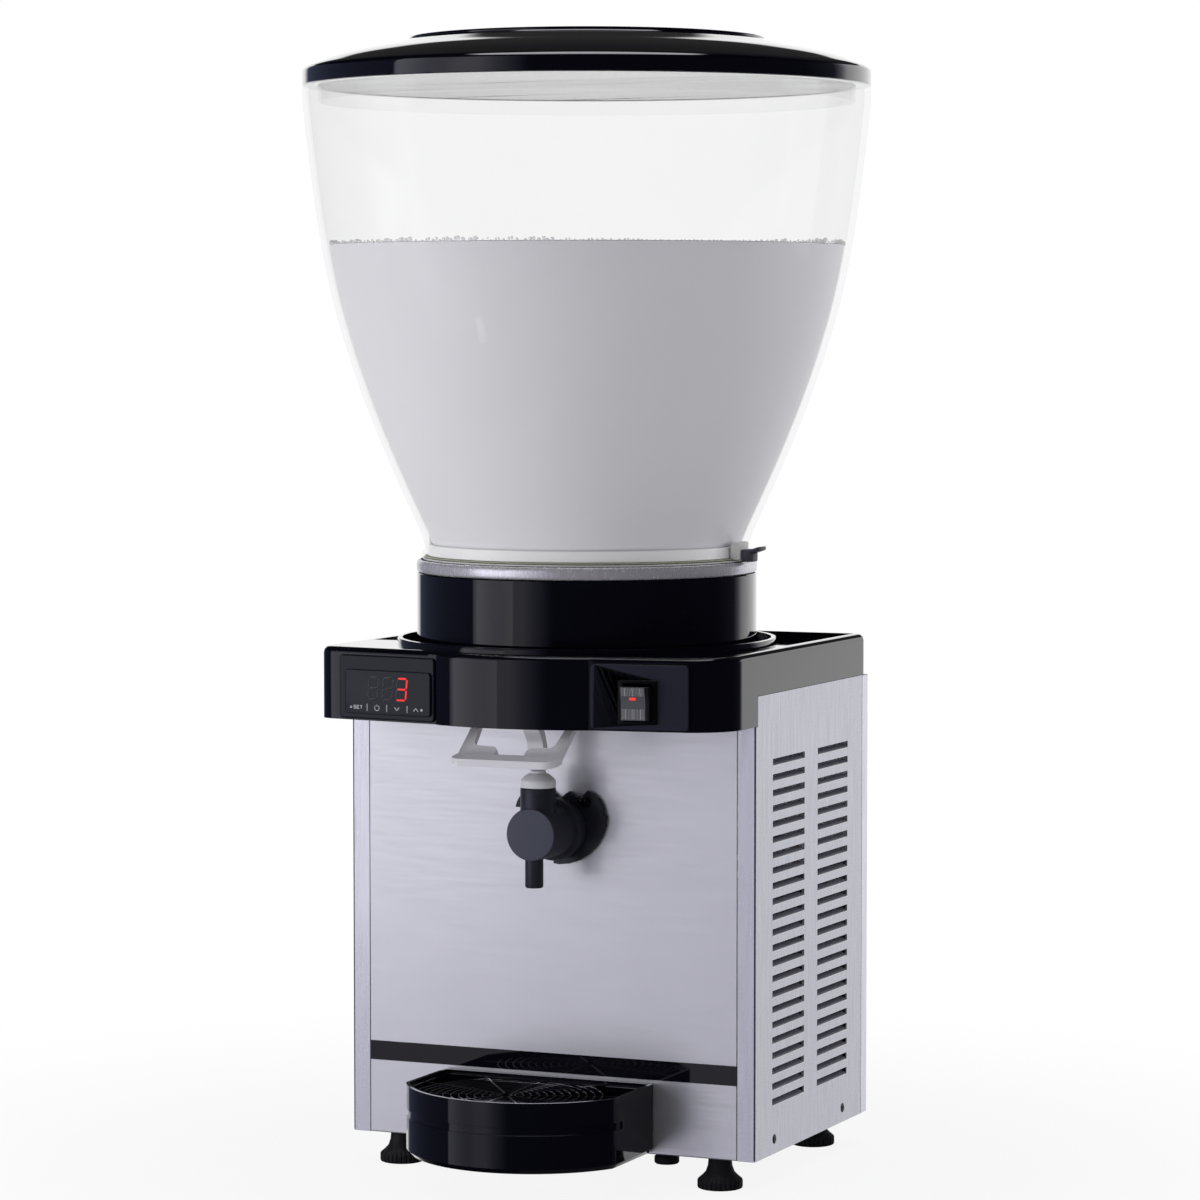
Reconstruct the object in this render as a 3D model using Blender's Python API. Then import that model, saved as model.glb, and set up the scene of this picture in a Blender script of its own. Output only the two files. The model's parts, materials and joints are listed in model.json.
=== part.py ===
"""Ayran dispenser: a clear mixing bowl on a refrigerated base with a lever tap.

Metres, +Z up. The origin is on the floor, under the axis of the bowl, and the front faces -Y.
"""
import math

import bmesh
import bpy
from mathutils import Matrix, Vector

# Clearances shared by every piece
TOUCH = 0.0003
WELD_DISTANCE = 0.000001
OVERRUN = 0.004
RUNNING_FIT = 0.0001

# Cabinet
CABINET_WIDTH = 0.300
CABINET_FRONT = 0.0613
CABINET_DEPTH = 0.2142
CABINET_BOTTOM = 0.0215
CABINET_TOP = 0.3340
SHEET = 0.0010
BASE_SHEET = 0.0012
POST_WIDTH = 0.0125
REAR_RETURN = 0.0115
BASE_UPSTAND = 0.012
DECK_FLANGE = 0.010

# Louvres of the side panels
LOUVRE_ROWS = 23
LOUVRE_PITCH = 0.01048
LOUVRE_TOP = 0.2899
LOUVRE_HEIGHT = 0.0034
LOUVRE_FRONT_SETBACK_SHARE = 0.1475
LOUVRE_FRONT_LENGTH_SHARE = 0.2764
LOUVRE_REAR_SETBACK_SHARE = 0.1877
LOUVRE_REAR_LENGTH_SHARE = 0.2722

# Slots of the rear panel
REAR_SLOTS = 12
REAR_SLOT_PITCH = 0.012
REAR_SLOT_LOW = 0.100
REAR_SLOT_HEIGHT = 0.004
REAR_SLOT_HALF_LENGTH = 0.080

# Screws of the side panels
SIDE_SCREW_FRONT = 0.0360
SIDE_SCREW_REAR = 0.0480
SIDE_SCREW_HEIGHT = 0.0100
SIDE_SCREW_RADIUS = 0.0023

# Stripe across the front panel
STRIPE_LOW = 0.0723
STRIPE_HIGH = 0.0856
STRIPE_THICKNESS = 0.0004

# Feet
FOOT_RADIUS = 0.01535
FOOT_BASE_HEIGHT = 0.0062
FOOT_NECK_RADIUS = 0.0078
FOOT_STUD_RADIUS = 0.0040
FOOT_STUD_TOP = 0.0330
FOOT_SIDE_SETBACK = 0.0305
FOOT_FRONT_SETBACK = 0.0137
FOOT_REAR_SETBACK = 0.0269

# Plug under the base
PLUG_SIDE_SETBACK = 0.0740
PLUG_SETBACK = 0.0243
PLUG_RADIUS = 0.0085
PLUG_NECK_RADIUS = 0.0055
PLUG_HEIGHT = 0.0097
PLUG_NECK_SHARE = 0.7

# Hood over the cabinet
HOOD_TOP = 0.3630
HOOD_FRONT_LOW = 0.3139
HOOD_WALL = 0.0030
HOOD_BULGE_SHELF = 0.0103
HOOD_FACE_X = 0.0605
HOOD_FACE_DROP = 0.0137
HOOD_FACE_ANGLE = math.radians(8.4)
HOOD_CORNER_RIGHT = 0.035
HOOD_CORNER_LEFT = 0.014
HOOD_CORNER_REAR = 0.010
HOOD_EDGE_ROUND = 0.0045
HOOD_STEP_SETBACK = 0.0042
COLLAR_SHELF = 0.0133
COLLAR_WALL = 0.0030
COLLAR_TOP = 0.3665
COLLAR_FLOOR = 0.3580
COLLAR_FLOOR_THICKNESS = 0.0040
COLLAR_HOLE_INSET = 0.0117
PAD_PROUD = 0.0020
PAD_LEFT_X = -0.0926
PAD_LEFT_WIDTH = 0.0778
PAD_RIGHT_X = 0.0929
PAD_RIGHT_WIDTH = 0.0666
PAD_Z = 0.3366
PAD_HEIGHT = 0.0432
RECESS_RIM = 0.0080
RECESS_FLOOR = 0.3580
RECESS_FRONT = 0.045

# Cooled seat of the bowl
HOUSING_RADIUS = 0.1172
HOUSING_WALL = 0.0025
HOUSING_TOP = 0.4112
DISH_RIM_THICKNESS = 0.0085
DISH_WALL_INSET = 0.0182
DISH_SHEET = 0.0012
DISH_FLOOR = 0.3720
DISH_CORNER = 0.006
STUB_RADIUS = 0.0075
STUB_WALL = 0.0013
STUB_LOW = 0.3300
STUB_Y = -0.0452
COIL_WIRE_RADIUS = 0.0032
COIL_GAP = 0.0012
COIL_TURNS = 3
COIL_PITCH = 0.0090
COIL_LOW = 0.3775
INSULATION_WELL_RADIUS = 0.0320
INSULATION_FOOT_INSET = 0.0322
GASKET_HEIGHT = 0.0010
GASKET_INNER_INSET = 0.0107
GASKET_OUTER_INSET = 0.0042

# Bowl: how far its outside reaches past the foot ring, and height over the foot, top to bottom
BOWL_FLARE = (
    (0.0812, 0.3213), (0.0805, 0.3057), (0.0759, 0.2650), (0.0702, 0.2240), (0.0625, 0.1832),
    (0.0513, 0.1422), (0.0370, 0.1010), (0.0201, 0.0598), (0.0015, 0.0184), (-0.0021, 0.0080),
)
BOWL_WALL = 0.0050
BOWL_FOOT_INSET = 0.0037
BOWL_FOOT_HEIGHT = 0.0040
BOWL_LUG_REACH = 0.0035
BOWL_LUG_WIDTH = 0.0180
BOWL_LUG_HEIGHT = 0.0124

# Latch on the bowl's right lug
LATCH_WIDTH = 0.0150
LATCH_DEPTH = 0.0060
LATCH_DROP = 0.0010
LATCH_RISE = 0.0114
LATCH_WING = 0.0070
LATCH_WING_THICKNESS = 0.0030

# Lid: how far its top reaches past the bowl's rim, and height over the rim, outside to inside
LID_DOME = (
    (0.0001, 0.0003), (0.0001, 0.0103), (-0.0021, 0.0129), (-0.0052, 0.0146), (-0.0162, 0.0187),
    (-0.0313, 0.0229), (-0.0448, 0.0255), (-0.0565, 0.0283), (-0.0678, 0.0311),
)
LID_DISC_INSET = 0.0726
LID_DISC_STEP = 0.0028
LID_WALL = 0.0028
LID_PLUG_INSET = 0.0108
LID_PLUG_WALL = 0.0024
LID_PLUG_DEPTH = 0.0100

# Tap
TAP_X = 0.0075
TAP_Z = 0.2404
TAP_FACE_SETBACK = 0.0057
TAP_RADIUS = 0.0179
TAP_HUB_RADIUS = 0.0212
TAP_HUB_LENGTH = 0.0100
TAP_INLET_RADIUS = 0.0080
TAP_SHANK_RADIUS = 0.0110
TAP_SHANK_END = -0.0555
TAP_SHANK_GAP = 0.0006
BARREL_SETBACK = 0.0186
BARREL_RADIUS = 0.0120
BARREL_TOP = 0.2711
BARREL_BORE = 0.0088
BARREL_FLOOR = 0.2300
NOZZLE_SETBACK = 0.0123
NOZZLE_RADIUS = 0.00615
NOZZLE_BORE = 0.0040
NOZZLE_LOW = 0.2043
NOZZLE_TOP = 0.2262
NOZZLE_CHAMFER = 0.0010
DRAIN_SETBACK = 0.0138
DRAIN_RADIUS = 0.0031
FLANGE_X = 0.0085
FLANGE_Z = 0.2503
FLANGE_RADIUS = 0.0345
FLANGE_THICKNESS = 0.0040
FLANGE_EAR_RADIUS = 0.0175
FLANGE_EAR_OFFSET = 0.0155
FLANGE_SCREW_SPREAD = 0.0194
FLANGE_SCREW_Z = 0.2590
FLANGE_SCREW_RADIUS = 0.0042
FLANGE_SCREW_HEAD = 0.0030
FLANGE_WAIST = 0.0240
NUT_RADIUS = 0.0165
NUT_LENGTH = 0.0040

# Cap, piston, seals and spring of the tap
CAP_SKIRT_TOP = 0.2765
CAP_CONE_TOP = 0.2810
CAP_COLLAR_TOP = 0.2825
CAP_COLLAR_RADIUS = 0.0040
PISTON_RADIUS = 0.0083
PISTON_TOP = 0.2500
PISTON_NECK_RADIUS = 0.0024
PISTON_HEAD_RADIUS = 0.0040
PISTON_HEAD_LOW = 0.2882
PISTON_HEAD_HIGH = 0.2912
SEAL_GROOVE = 0.0015
SEAL_HEIGHT = 0.0022
SEAL_LEVEL = 0.2345
SPRING_RADIUS = 0.0058
SPRING_WIRE = 0.0006
SPRING_TURNS = 5

# Lever of the tap
LEVER_PIVOT_SETBACK = 0.0248
LEVER_PIVOT_Z = 0.3170
LEVER_HUB_RADIUS = 0.0045
LEVER_HALF = 0.0375
LEVER_SLOPE = math.radians(37.5)
LEVER_FRAME_THICKNESS = 0.0043
LEVER_FRAME_DROP = 0.0012
LEVER_FOLD = 0.0345
LEVER_ARM_TOP = 0.0055
LEVER_ARM_LOW = 0.0080
LEVER_FOOT = 0.0080
LEVER_NOTCH_HALF = 0.0108
PADDLE_SLOPE = math.radians(7.0)
PADDLE_THICKNESS = 0.0048
PADDLE_LENGTH = 0.0155
PADDLE_CORNER = 0.0080
FORK_RADIUS = 0.0062
FORK_CAVITY_HALF = 0.0046
FORK_SLOT_HALF = 0.0028
FORK_LOW = 0.2833
FORK_LIP_TOP = 0.2860
FORK_CAVITY_TOP = 0.2932
FORK_TOP = 0.2962
FINGER_HALF = 0.0058
LEVER_PIN_RADIUS = 0.0020
BRACKET_SHEET = 0.0020
BRACKET_HALF = 0.0405
BRACKET_LOW = 0.3130
BRACKET_HIGH = 0.3240
BRACKET_NOSE = 0.0055

# Pipe from the dish to the tap
PIPE_RADIUS = 0.0060
PIPE_WALL = 0.0013
PIPE_BEND = 0.0100

# Drip tray and its grille
TRAY_X = -0.0006
TRAY_SIDE_CUT = 0.0086
TRAY_BACK = -0.0640
TRAY_ARC_RADIUS = 0.0865
TRAY_ARC_Y = -0.0869
TRAY_TOP = 0.0701
TRAY_BOTTOM = 0.0226
TRAY_CHAMFER = 0.0035
TRAY_WALL = 0.0025
TRAY_FLOOR_LOW = 0.0282
TRAY_FLOOR_HIGH = 0.0302
TRAY_LEDGE = 0.0030
TRAY_BAND_LOW = 0.0485
TRAY_BAND_HIGH = 0.0535
TRAY_BAND_DEPTH = 0.0010
TRAY_GRIP_RADIUS = 0.0080
GRILLE_LOW = 0.0652
GRILLE_TOP = 0.0678
GRILLE_HUB_Y = -0.130
GRILLE_HUB_RADIUS = 0.0060
GRILLE_SPOKES = 10
GRILLE_SPOKE_HALF = 0.0008
GRILLE_RING_PITCH = 0.0105
GRILLE_RING_BAR = 0.0024
GRILLE_RINGS = 5
GRILLE_BORDER = 0.0030
SHELF_HALF = 0.0550
SHELF_SHEET = 0.0015
SHELF_TOP = 0.0279
SHELF_FRONT = -0.1350
SHELF_FLANGE_TOP = 0.0600

# Thermostat in the left block and rocker switch in the right block
THERMOSTAT_X = -0.0907
THERMOSTAT_Z = 0.3335
THERMOSTAT_WIDTH = 0.0700
THERMOSTAT_HEIGHT = 0.0300
THERMOSTAT_PROUD = 0.0016
THERMOSTAT_BODY_WIDTH = 0.0590
THERMOSTAT_BODY_HEIGHT = 0.0245
THERMOSTAT_BODY_DEPTH = 0.0430
SWITCH_X = 0.0921
SWITCH_Z = 0.3335
SWITCH_WIDTH = 0.0268
SWITCH_HEIGHT = 0.0295
SWITCH_PROUD = 0.0020
SWITCH_BODY_WIDTH = 0.0220
SWITCH_BODY_HEIGHT = 0.0275
SWITCH_BODY_DEPTH = 0.0240
SWITCH_WALL = 0.0012
ROCKER_PIVOT_DEPTH = 0.0040
ROCKER_PROUD = 0.0070
ROCKER_DIP = 0.0018
ROCKER_TILT = math.radians(7.0)
ROCKER_END_GAP = 0.0010
ROCKER_PIN_RADIUS = 0.0015

# Stirring drive
MOTOR_RADIUS = 0.0300
MOTOR_LENGTH = 0.0680
MOTOR_FLANGE = 0.0030
MOTOR_FLANGE_RADIUS = 0.0345
MOTOR_SOCKET_DEPTH = 0.0120
DRIVE_SHAFT_RADIUS = 0.0030
MAGNET_RADIUS = 0.0280
MAGNET_LOW = 0.3585
MAGNET_HIGH = 0.3695
IMPELLER_PIN_RADIUS = 0.0030
IMPELLER_PIN_BASE = 0.0080
IMPELLER_PIN_RISE = 0.0010
IMPELLER_HUB_RADIUS = 0.0120
IMPELLER_CAP = 0.0040
IMPELLER_LOW = 0.3745
IMPELLER_VANES = 6
IMPELLER_VANE_REACH = 0.0480
IMPELLER_VANE_HALF = 0.0012
IMPELLER_VANE_HEIGHT = 0.0175
IMPELLER_DISC = 0.0020

# Refrigeration
COMPRESSOR_SIDE_SETBACK = 0.0760
COMPRESSOR_REAR_SETBACK = 0.0789
COMPRESSOR_RADIUS = 0.0520
COMPRESSOR_LOW = 0.0350
COMPRESSOR_HIGH = 0.1620
COMPRESSOR_DOME = 0.0240
RELAY_SUNK_SHARE = 0.9
COMPRESSOR_PLATE_HALF = 0.0480
COMPRESSOR_PLATE = 0.0020
GROMMET_RADIUS = 0.0080
GROMMET_WAIST_SHARE = 0.75
GROMMET_INSET = 0.0090
RELAY_HALF = 0.0200
RELAY_DEPTH = 0.0240
RELAY_LOW = 0.0750
RELAY_HIGH = 0.1150
CONDENSER_INNER_SETBACK = 0.0392
CONDENSER_OUTER_SETBACK = 0.0100
CONDENSER_FRONT_SETBACK = 0.0373
CONDENSER_REAR_SETBACK = 0.0469
CONDENSER_LOW = 0.0500
CONDENSER_HIGH = 0.2000
CONDENSER_FINS = 13
CONDENSER_FIN = 0.0016
CONDENSER_SPINE = 0.0060
BEND_RADIUS = 0.0032
BEND_REACH = 0.0100
BENDS = 5
FAN_Z = 0.1250
SHROUD_SHEET = 0.0020
SHROUD_SETBACK = 0.0415
SHROUD_OVERHANG = 0.0070
SHROUD_TOP = 0.2000
SHROUD_RIM = 0.0160
FAN_TIP_CLEARANCE = 0.0040
FAN_HUB_RADIUS = 0.0160
FAN_HUB_LENGTH = 0.0120
FAN_SETBACK = 0.0640
FAN_BLADES = 5
FAN_BLADE_SHEET = 0.0014
FAN_BLADE_PITCH = math.radians(32.0)
FAN_BLADE_CHORD = 0.0170
FAN_BLADE_ROOT_SHARE = 0.7
FAN_BLADE_WIDE_SHARE = 1.2
FAN_BLADE_SUNK_SHARE = 0.9
FAN_BLADE_WIDE_AT_SHARE = 0.7
FAN_BLADE_TRAIL_SHARE = 0.97
FAN_SHAFT_RADIUS = 0.0025
FAN_MOTOR_RADIUS = 0.0230
FAN_MOTOR_LENGTH = 0.0420
FAN_MOTOR_GAP = 0.0040
FAN_MOTOR_SOCKET = 0.0080
STAND_SHEET = 0.0015
STAND_HALF = 0.0320
DRIER_X = 0.0100
DRIER_SETBACK = 0.0279
DRIER_RADIUS = 0.0090
DRIER_LOW = 0.0700
DRIER_HIGH = 0.1500
DRIER_NECK = 0.0032
DRIER_NECK_LENGTH = 0.0080
TUBE_RADIUS = 0.0025

# Cable gland in the rear panel
GLAND_SIDE_SETBACK = 0.0400
GLAND_Z = 0.0600
GLAND_RADIUS = 0.0080
GLAND_FLANGE_RADIUS = 0.0120
GLAND_BORE = 0.0036
GLAND_INSIDE = 0.0100
GLAND_FLANGE = 0.0040
GLAND_NOSE = 0.0120
GLAND_NOSE_RADIUS = 0.0090
GLAND_TIP_SHARE = 0.7

# Facet counts
ROUND_LARGE = 40
ROUND_MEDIUM = 28
ROUND_SMALL = 18
ROUND_COIL = 24
ROUND_MOUNT = 12
ARC_STEPS = 8

FRONT = -CABINET_FRONT
BACK = CABINET_DEPTH - CABINET_FRONT
SIDE = CABINET_WIDTH / 2
COLLAR_RADIUS = HOUSING_RADIUS + COLLAR_SHELF
COLLAR_HOLE_RADIUS = HOUSING_RADIUS - COLLAR_HOLE_INSET
HOOD_BULGE_RADIUS = COLLAR_RADIUS + HOOD_BULGE_SHELF
DISH_WALL_RADIUS = HOUSING_RADIUS - DISH_WALL_INSET
INSULATION_FOOT_RADIUS = HOUSING_RADIUS - INSULATION_FOOT_INSET
BOWL_FOOT_RADIUS = HOUSING_RADIUS - BOWL_FOOT_INSET
TRAY_HALF = TRAY_ARC_RADIUS - TRAY_SIDE_CUT
GLAND_X = GLAND_SIDE_SETBACK - SIDE
LEVER_PIVOT_Y = LEVER_PIVOT_SETBACK - HOOD_BULGE_RADIUS
TAP_FACE_Y = LEVER_PIVOT_Y + TAP_FACE_SETBACK
BARREL_Y = LEVER_PIVOT_Y + BARREL_SETBACK
NOZZLE_Y = LEVER_PIVOT_Y + NOZZLE_SETBACK
DRAIN_Y = LEVER_PIVOT_Y + DRAIN_SETBACK
HOOD_FACE_Y = HOOD_BULGE_RADIUS - HOOD_FACE_DROP
COMPRESSOR_X = COMPRESSOR_SIDE_SETBACK - SIDE
COMPRESSOR_Y = BACK - COMPRESSOR_REAR_SETBACK
CONDENSER_INNER = SIDE - CONDENSER_INNER_SETBACK
CONDENSER_OUTER = SIDE - CONDENSER_OUTER_SETBACK
CONDENSER_FRONT = FRONT + CONDENSER_FRONT_SETBACK
CONDENSER_REAR = BACK - CONDENSER_REAR_SETBACK
SHROUD_INNER = SIDE - SHROUD_SETBACK
FAN_X = SIDE - FAN_SETBACK
DRIER_Y = BACK - DRIER_SETBACK
FAN_Y = (CONDENSER_FRONT + CONDENSER_REAR) / 2
SHROUD_HALF = (CONDENSER_REAR - CONDENSER_FRONT) / 2 + SHROUD_OVERHANG
SHROUD_HOLE = SHROUD_HALF - SHROUD_RIM
FAN_RADIUS = SHROUD_HOLE - FAN_TIP_CLEARANCE
IMPELLER_VANE_TOP = IMPELLER_LOW + IMPELLER_VANE_HEIGHT
IMPELLER_PIN_TOP = IMPELLER_VANE_TOP + IMPELLER_PIN_RISE
IMPELLER_HUB_TOP = IMPELLER_PIN_TOP + IMPELLER_CAP


def material(name, colour, roughness, metallic=0.0, alpha=1.0):
    """Returns a Principled material with the piece's colour and finish."""
    made = bpy.data.materials.new(name)
    made.use_nodes = True
    shader = made.node_tree.nodes["Principled BSDF"]
    shader.inputs["Base Color"].default_value = (*colour, 1.0)
    shader.inputs["Roughness"].default_value = roughness
    shader.inputs["Metallic"].default_value = metallic
    shader.inputs["Alpha"].default_value = alpha
    made.diffuse_color = (*colour, alpha)
    return made


def place_mesh(name, shape, smooth_angle=math.radians(32.0)):
    """Turns a bmesh into an object in the scene, shaded smooth over its shallow edges."""
    bmesh.ops.recalc_face_normals(shape, faces=shape.faces)
    mesh = bpy.data.meshes.new(name)
    shape.to_mesh(mesh)
    shape.free()
    mesh.shade_smooth()
    mesh.set_sharp_from_angle(angle=smooth_angle)
    made = bpy.data.objects.new(name, mesh)
    bpy.context.scene.collection.objects.link(made)
    return made


def turned(name, profile, steps, centre=(0.0, 0.0, 0.0), axis=(0.0, 0.0, 1.0)):
    """Spins a profile of (radius, height) points about an axis through the centre."""
    shape = bmesh.new()
    points = [shape.verts.new((radius, 0.0, height)) for radius, height in profile]
    edges = [shape.edges.new(pair) for pair in zip(points, points[1:])]
    if profile[0][0] > 0.0 or profile[-1][0] > 0.0:
        edges.append(shape.edges.new((points[-1], points[0])))
    bmesh.ops.spin(shape, geom=points + edges, cent=(0.0, 0.0, 0.0), axis=(0.0, 0.0, 1.0),
                   dvec=(0.0, 0.0, 0.0), angle=math.tau, steps=steps, use_duplicate=False)
    bmesh.ops.remove_doubles(shape, verts=shape.verts, dist=WELD_DISTANCE)
    turn = Vector((0.0, 0.0, 1.0)).rotation_difference(Vector(axis)).to_matrix().to_4x4()
    bmesh.ops.transform(shape, matrix=Matrix.Translation(centre) @ turn, verts=shape.verts)
    return place_mesh(name, shape)


def prism(name, outline, low, high, axis="Z"):
    """Extrudes an outline from low to high; X takes (y, z) points and Y takes (x, z) points."""
    lift = {"X": lambda a, b: (low, a, b), "Y": lambda a, b: (a, low, b), "Z": lambda a, b: (a, b, low)}
    step = {"X": (high - low, 0.0, 0.0), "Y": (0.0, high - low, 0.0), "Z": (0.0, 0.0, high - low)}
    shape = bmesh.new()
    face = shape.faces.new([shape.verts.new(lift[axis](a, b)) for a, b in outline])
    grown = bmesh.ops.extrude_face_region(shape, geom=[face])
    moved = [item for item in grown["geom"] if isinstance(item, bmesh.types.BMVert)]
    bmesh.ops.translate(shape, vec=step[axis], verts=moved)
    return place_mesh(name, shape)


def box(name, low, high):
    """Makes a box between two corners."""
    outline = [(low[0], low[1]), (high[0], low[1]), (high[0], high[1]), (low[0], high[1])]
    return prism(name, outline, low[2], high[2])


def rod(name, start, end, radius, steps=ROUND_SMALL):
    """Makes a plain round rod between two points."""
    span = Vector(end) - Vector(start)
    profile = [(0.0, 0.0), (radius, 0.0), (radius, span.length), (0.0, span.length)]
    return turned(name, profile, steps, start, span.normalized())


def tube(name, points, radius, resolution=2):
    """Makes a round tube with filled ends along a list of points."""
    curve = bpy.data.curves.new(name, "CURVE")
    curve.dimensions = "3D"
    curve.bevel_depth = radius
    curve.bevel_resolution = resolution
    curve.use_fill_caps = True
    spline = curve.splines.new("POLY")
    spline.points.add(len(points) - 1)
    for slot, point in zip(spline.points, points):
        slot.co = (*point, 1.0)
    made = bpy.data.objects.new(name, curve)
    bpy.context.scene.collection.objects.link(made)
    mesh = evaluated_mesh(made)
    bpy.data.objects.remove(made)
    shape = bmesh.new()
    shape.from_mesh(mesh)
    bmesh.ops.remove_doubles(shape, verts=shape.verts, dist=WELD_DISTANCE)
    return place_mesh(name, shape)


def smooth_route(corners, steps):
    """Returns points through the corners: smooth between them, straight in the first and last span."""
    points = [Vector(corners[0])]
    for before, start, end, after in zip(corners, corners[1:], corners[2:], corners[3:]):
        p0, p1, p2, p3 = Vector(before), Vector(start), Vector(end), Vector(after)
        for number in range(steps):
            t = number / steps
            bend = 2.0 * p0 - 5.0 * p1 + 4.0 * p2 - p3
            twist = 3.0 * p1 - p0 - 3.0 * p2 + p3
            points.append(0.5 * (2.0 * p1 + (p2 - p0) * t + bend * t * t + twist * t ** 3))
    return points + [Vector(corners[-2]), Vector(corners[-1])]


def evaluated_mesh(made):
    """Returns a new mesh of the object with its modifiers applied."""
    bpy.context.view_layer.update()
    depsgraph = bpy.context.evaluated_depsgraph_get()
    return bpy.data.meshes.new_from_object(made.evaluated_get(depsgraph))


def combine(target, tool, operation):
    """Applies one Boolean of the tool to the target and removes the tool."""
    modifier = target.modifiers.new(operation.title(), "BOOLEAN")
    modifier.operation = operation
    modifier.solver = "EXACT"
    modifier.object = tool
    mesh = evaluated_mesh(target)
    target.modifiers.clear()
    target.data = mesh
    bpy.data.objects.remove(tool)
    return target


def cut(target, *tools):
    """Cuts each tool out of the target."""
    for tool in tools:
        combine(target, tool, "DIFFERENCE")
    return target


def fuse(target, *tools):
    """Joins each tool to the target as one body."""
    for tool in tools:
        combine(target, tool, "UNION")
    return target


def group(name, pieces):
    """Puts separate solids together in one object."""
    shape = bmesh.new()
    for piece in pieces:
        shape.from_mesh(piece.data)
        bpy.data.objects.remove(piece)
    return place_mesh(name, shape)


def tidy(made, finish, smooth_angle=math.radians(32.0)):
    """Gives a finished piece its material and its shading."""
    made.data.materials.clear()
    made.data.materials.append(finish)
    made.data.shade_smooth()
    made.data.set_sharp_from_angle(angle=smooth_angle)
    return made


def turn_mesh(made, matrix):
    """Moves an object's mesh by a matrix."""
    made.data.transform(matrix)
    return made


def arc(centre, radius, start, end, steps):
    """Returns points along an arc, with its angles counted from +X."""
    angles = [start + (end - start) * number / steps for number in range(steps + 1)]
    return [(centre[0] + radius * math.cos(a), centre[1] + radius * math.sin(a)) for a in angles]


def carry(name, place, pieces, turn=None, parent=None):
    """Hangs the pieces of a moving body from an empty on its joint."""
    holder = bpy.data.objects.new(name, None)
    bpy.context.scene.collection.objects.link(holder)
    holder.matrix_world = Matrix.Translation(place) @ (turn or Matrix.Identity(4))
    bpy.context.view_layer.update()
    if parent:
        holder.parent = parent
        holder.matrix_parent_inverse = parent.matrix_world.inverted()
    for piece in pieces:
        piece.parent = holder
        piece.matrix_parent_inverse = holder.matrix_world.inverted()
    return holder


def make_base_plate():
    """Bottom pan with front and rear upstands and holes for the feet."""
    half = SIDE - SHEET - TOUCH
    front = FRONT + SHEET + TOUCH
    back = BACK - SHEET - TOUCH
    inner = CABINET_BOTTOM + BASE_SHEET
    top = CABINET_BOTTOM + BASE_UPSTAND
    near = front + BASE_SHEET
    far = back - BASE_SHEET
    outline = [(front, CABINET_BOTTOM), (back, CABINET_BOTTOM), (back, top), (far, top), (far, inner),
               (near, inner), (near, top), (front, top)]
    plate = prism("base_plate", outline, -half, half, "X")
    for x, y in foot_places():
        cut(plate, rod("hole", (x, y, CABINET_BOTTOM - OVERRUN), (x, y, inner + OVERRUN),
                       FOOT_STUD_RADIUS + TOUCH))
    x = SIDE - PLUG_SIDE_SETBACK
    y = FRONT + PLUG_SETBACK
    cut(plate, rod("hole", (x, y, CABINET_BOTTOM - OVERRUN), (x, y, inner + OVERRUN),
                   PLUG_NECK_RADIUS / 2 + TOUCH))
    return plate


def foot_places():
    """Returns the centre of each foot: front left, front right, rear left and rear right."""
    front = FRONT + FOOT_FRONT_SETBACK
    rear = BACK - FOOT_REAR_SETBACK
    x = SIDE - FOOT_SIDE_SETBACK
    return [(-x, front), (x, front), (-x, rear), (x, rear)]


def make_front_panel():
    """Flat front sheet between the posts, with the hole for the tap's shank."""
    half = SIDE - POST_WIDTH - TOUCH
    panel = box("front_panel", (-half, FRONT, CABINET_BOTTOM + TOUCH),
                (half, FRONT + SHEET, CABINET_TOP - DECK_FLANGE / 2))
    return cut(panel, rod("hole", (TAP_X, FRONT - OVERRUN, TAP_Z), (TAP_X, FRONT + SHEET + OVERRUN, TAP_Z),
                          TAP_SHANK_RADIUS + TAP_SHANK_GAP))


def louvre_columns():
    """Returns the front and rear end of each column of louvres."""
    front = FRONT + CABINET_DEPTH * LOUVRE_FRONT_SETBACK_SHARE
    rear = BACK - CABINET_DEPTH * LOUVRE_REAR_SETBACK_SHARE
    return [(front, front + CABINET_DEPTH * LOUVRE_FRONT_LENGTH_SHARE),
            (rear - CABINET_DEPTH * LOUVRE_REAR_LENGTH_SHARE, rear)]


def louvre_levels():
    """Returns the top of each row of louvres."""
    return [LOUVRE_TOP - LOUVRE_PITCH * row for row in range(LOUVRE_ROWS)]


def make_side_panel(name, side):
    """Side sheet with its front return, two columns of louvres and a notch under the hood."""
    outer = side * SIDE
    inner = side * (SIDE - SHEET)
    rear = BACK - REAR_RETURN - TOUCH
    post = side * (SIDE - POST_WIDTH)
    outline = [(outer, FRONT), (outer, rear), (inner, rear), (inner, FRONT + SHEET), (post, FRONT + SHEET),
               (post, FRONT)]
    panel = prism(name, outline, CABINET_BOTTOM, CABINET_TOP)
    slots = []
    for low_y, high_y in louvre_columns():
        for top in louvre_levels():
            low = top - LOUVRE_HEIGHT
            near = min(outer, inner) - OVERRUN
            far = max(outer, inner) + OVERRUN
            slots.append(box("slot", (near, low_y, low), (far, high_y, top)))
    cut(panel, group("slots", slots))
    notch_edge = FRONT + HOOD_STEP_SETBACK + TOUCH
    notch = box("notch", (min(outer, post) - OVERRUN, FRONT - OVERRUN, HOOD_FRONT_LOW - TOUCH),
                (max(outer, post) + OVERRUN, notch_edge, CABINET_TOP + OVERRUN))
    cut(panel, notch)
    for y, z in side_screw_places():
        cut(panel, rod("hole", (outer - side * OVERRUN, y, z), (outer + side * OVERRUN, y, z),
                       SIDE_SCREW_RADIUS + TOUCH))
    return panel


def side_screw_places():
    """Returns the (y, z) of the two screws of each side panel."""
    height = CABINET_BOTTOM + SIDE_SCREW_HEIGHT
    return [(FRONT + SIDE_SCREW_FRONT, height), (BACK - SIDE_SCREW_REAR, height)]


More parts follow.
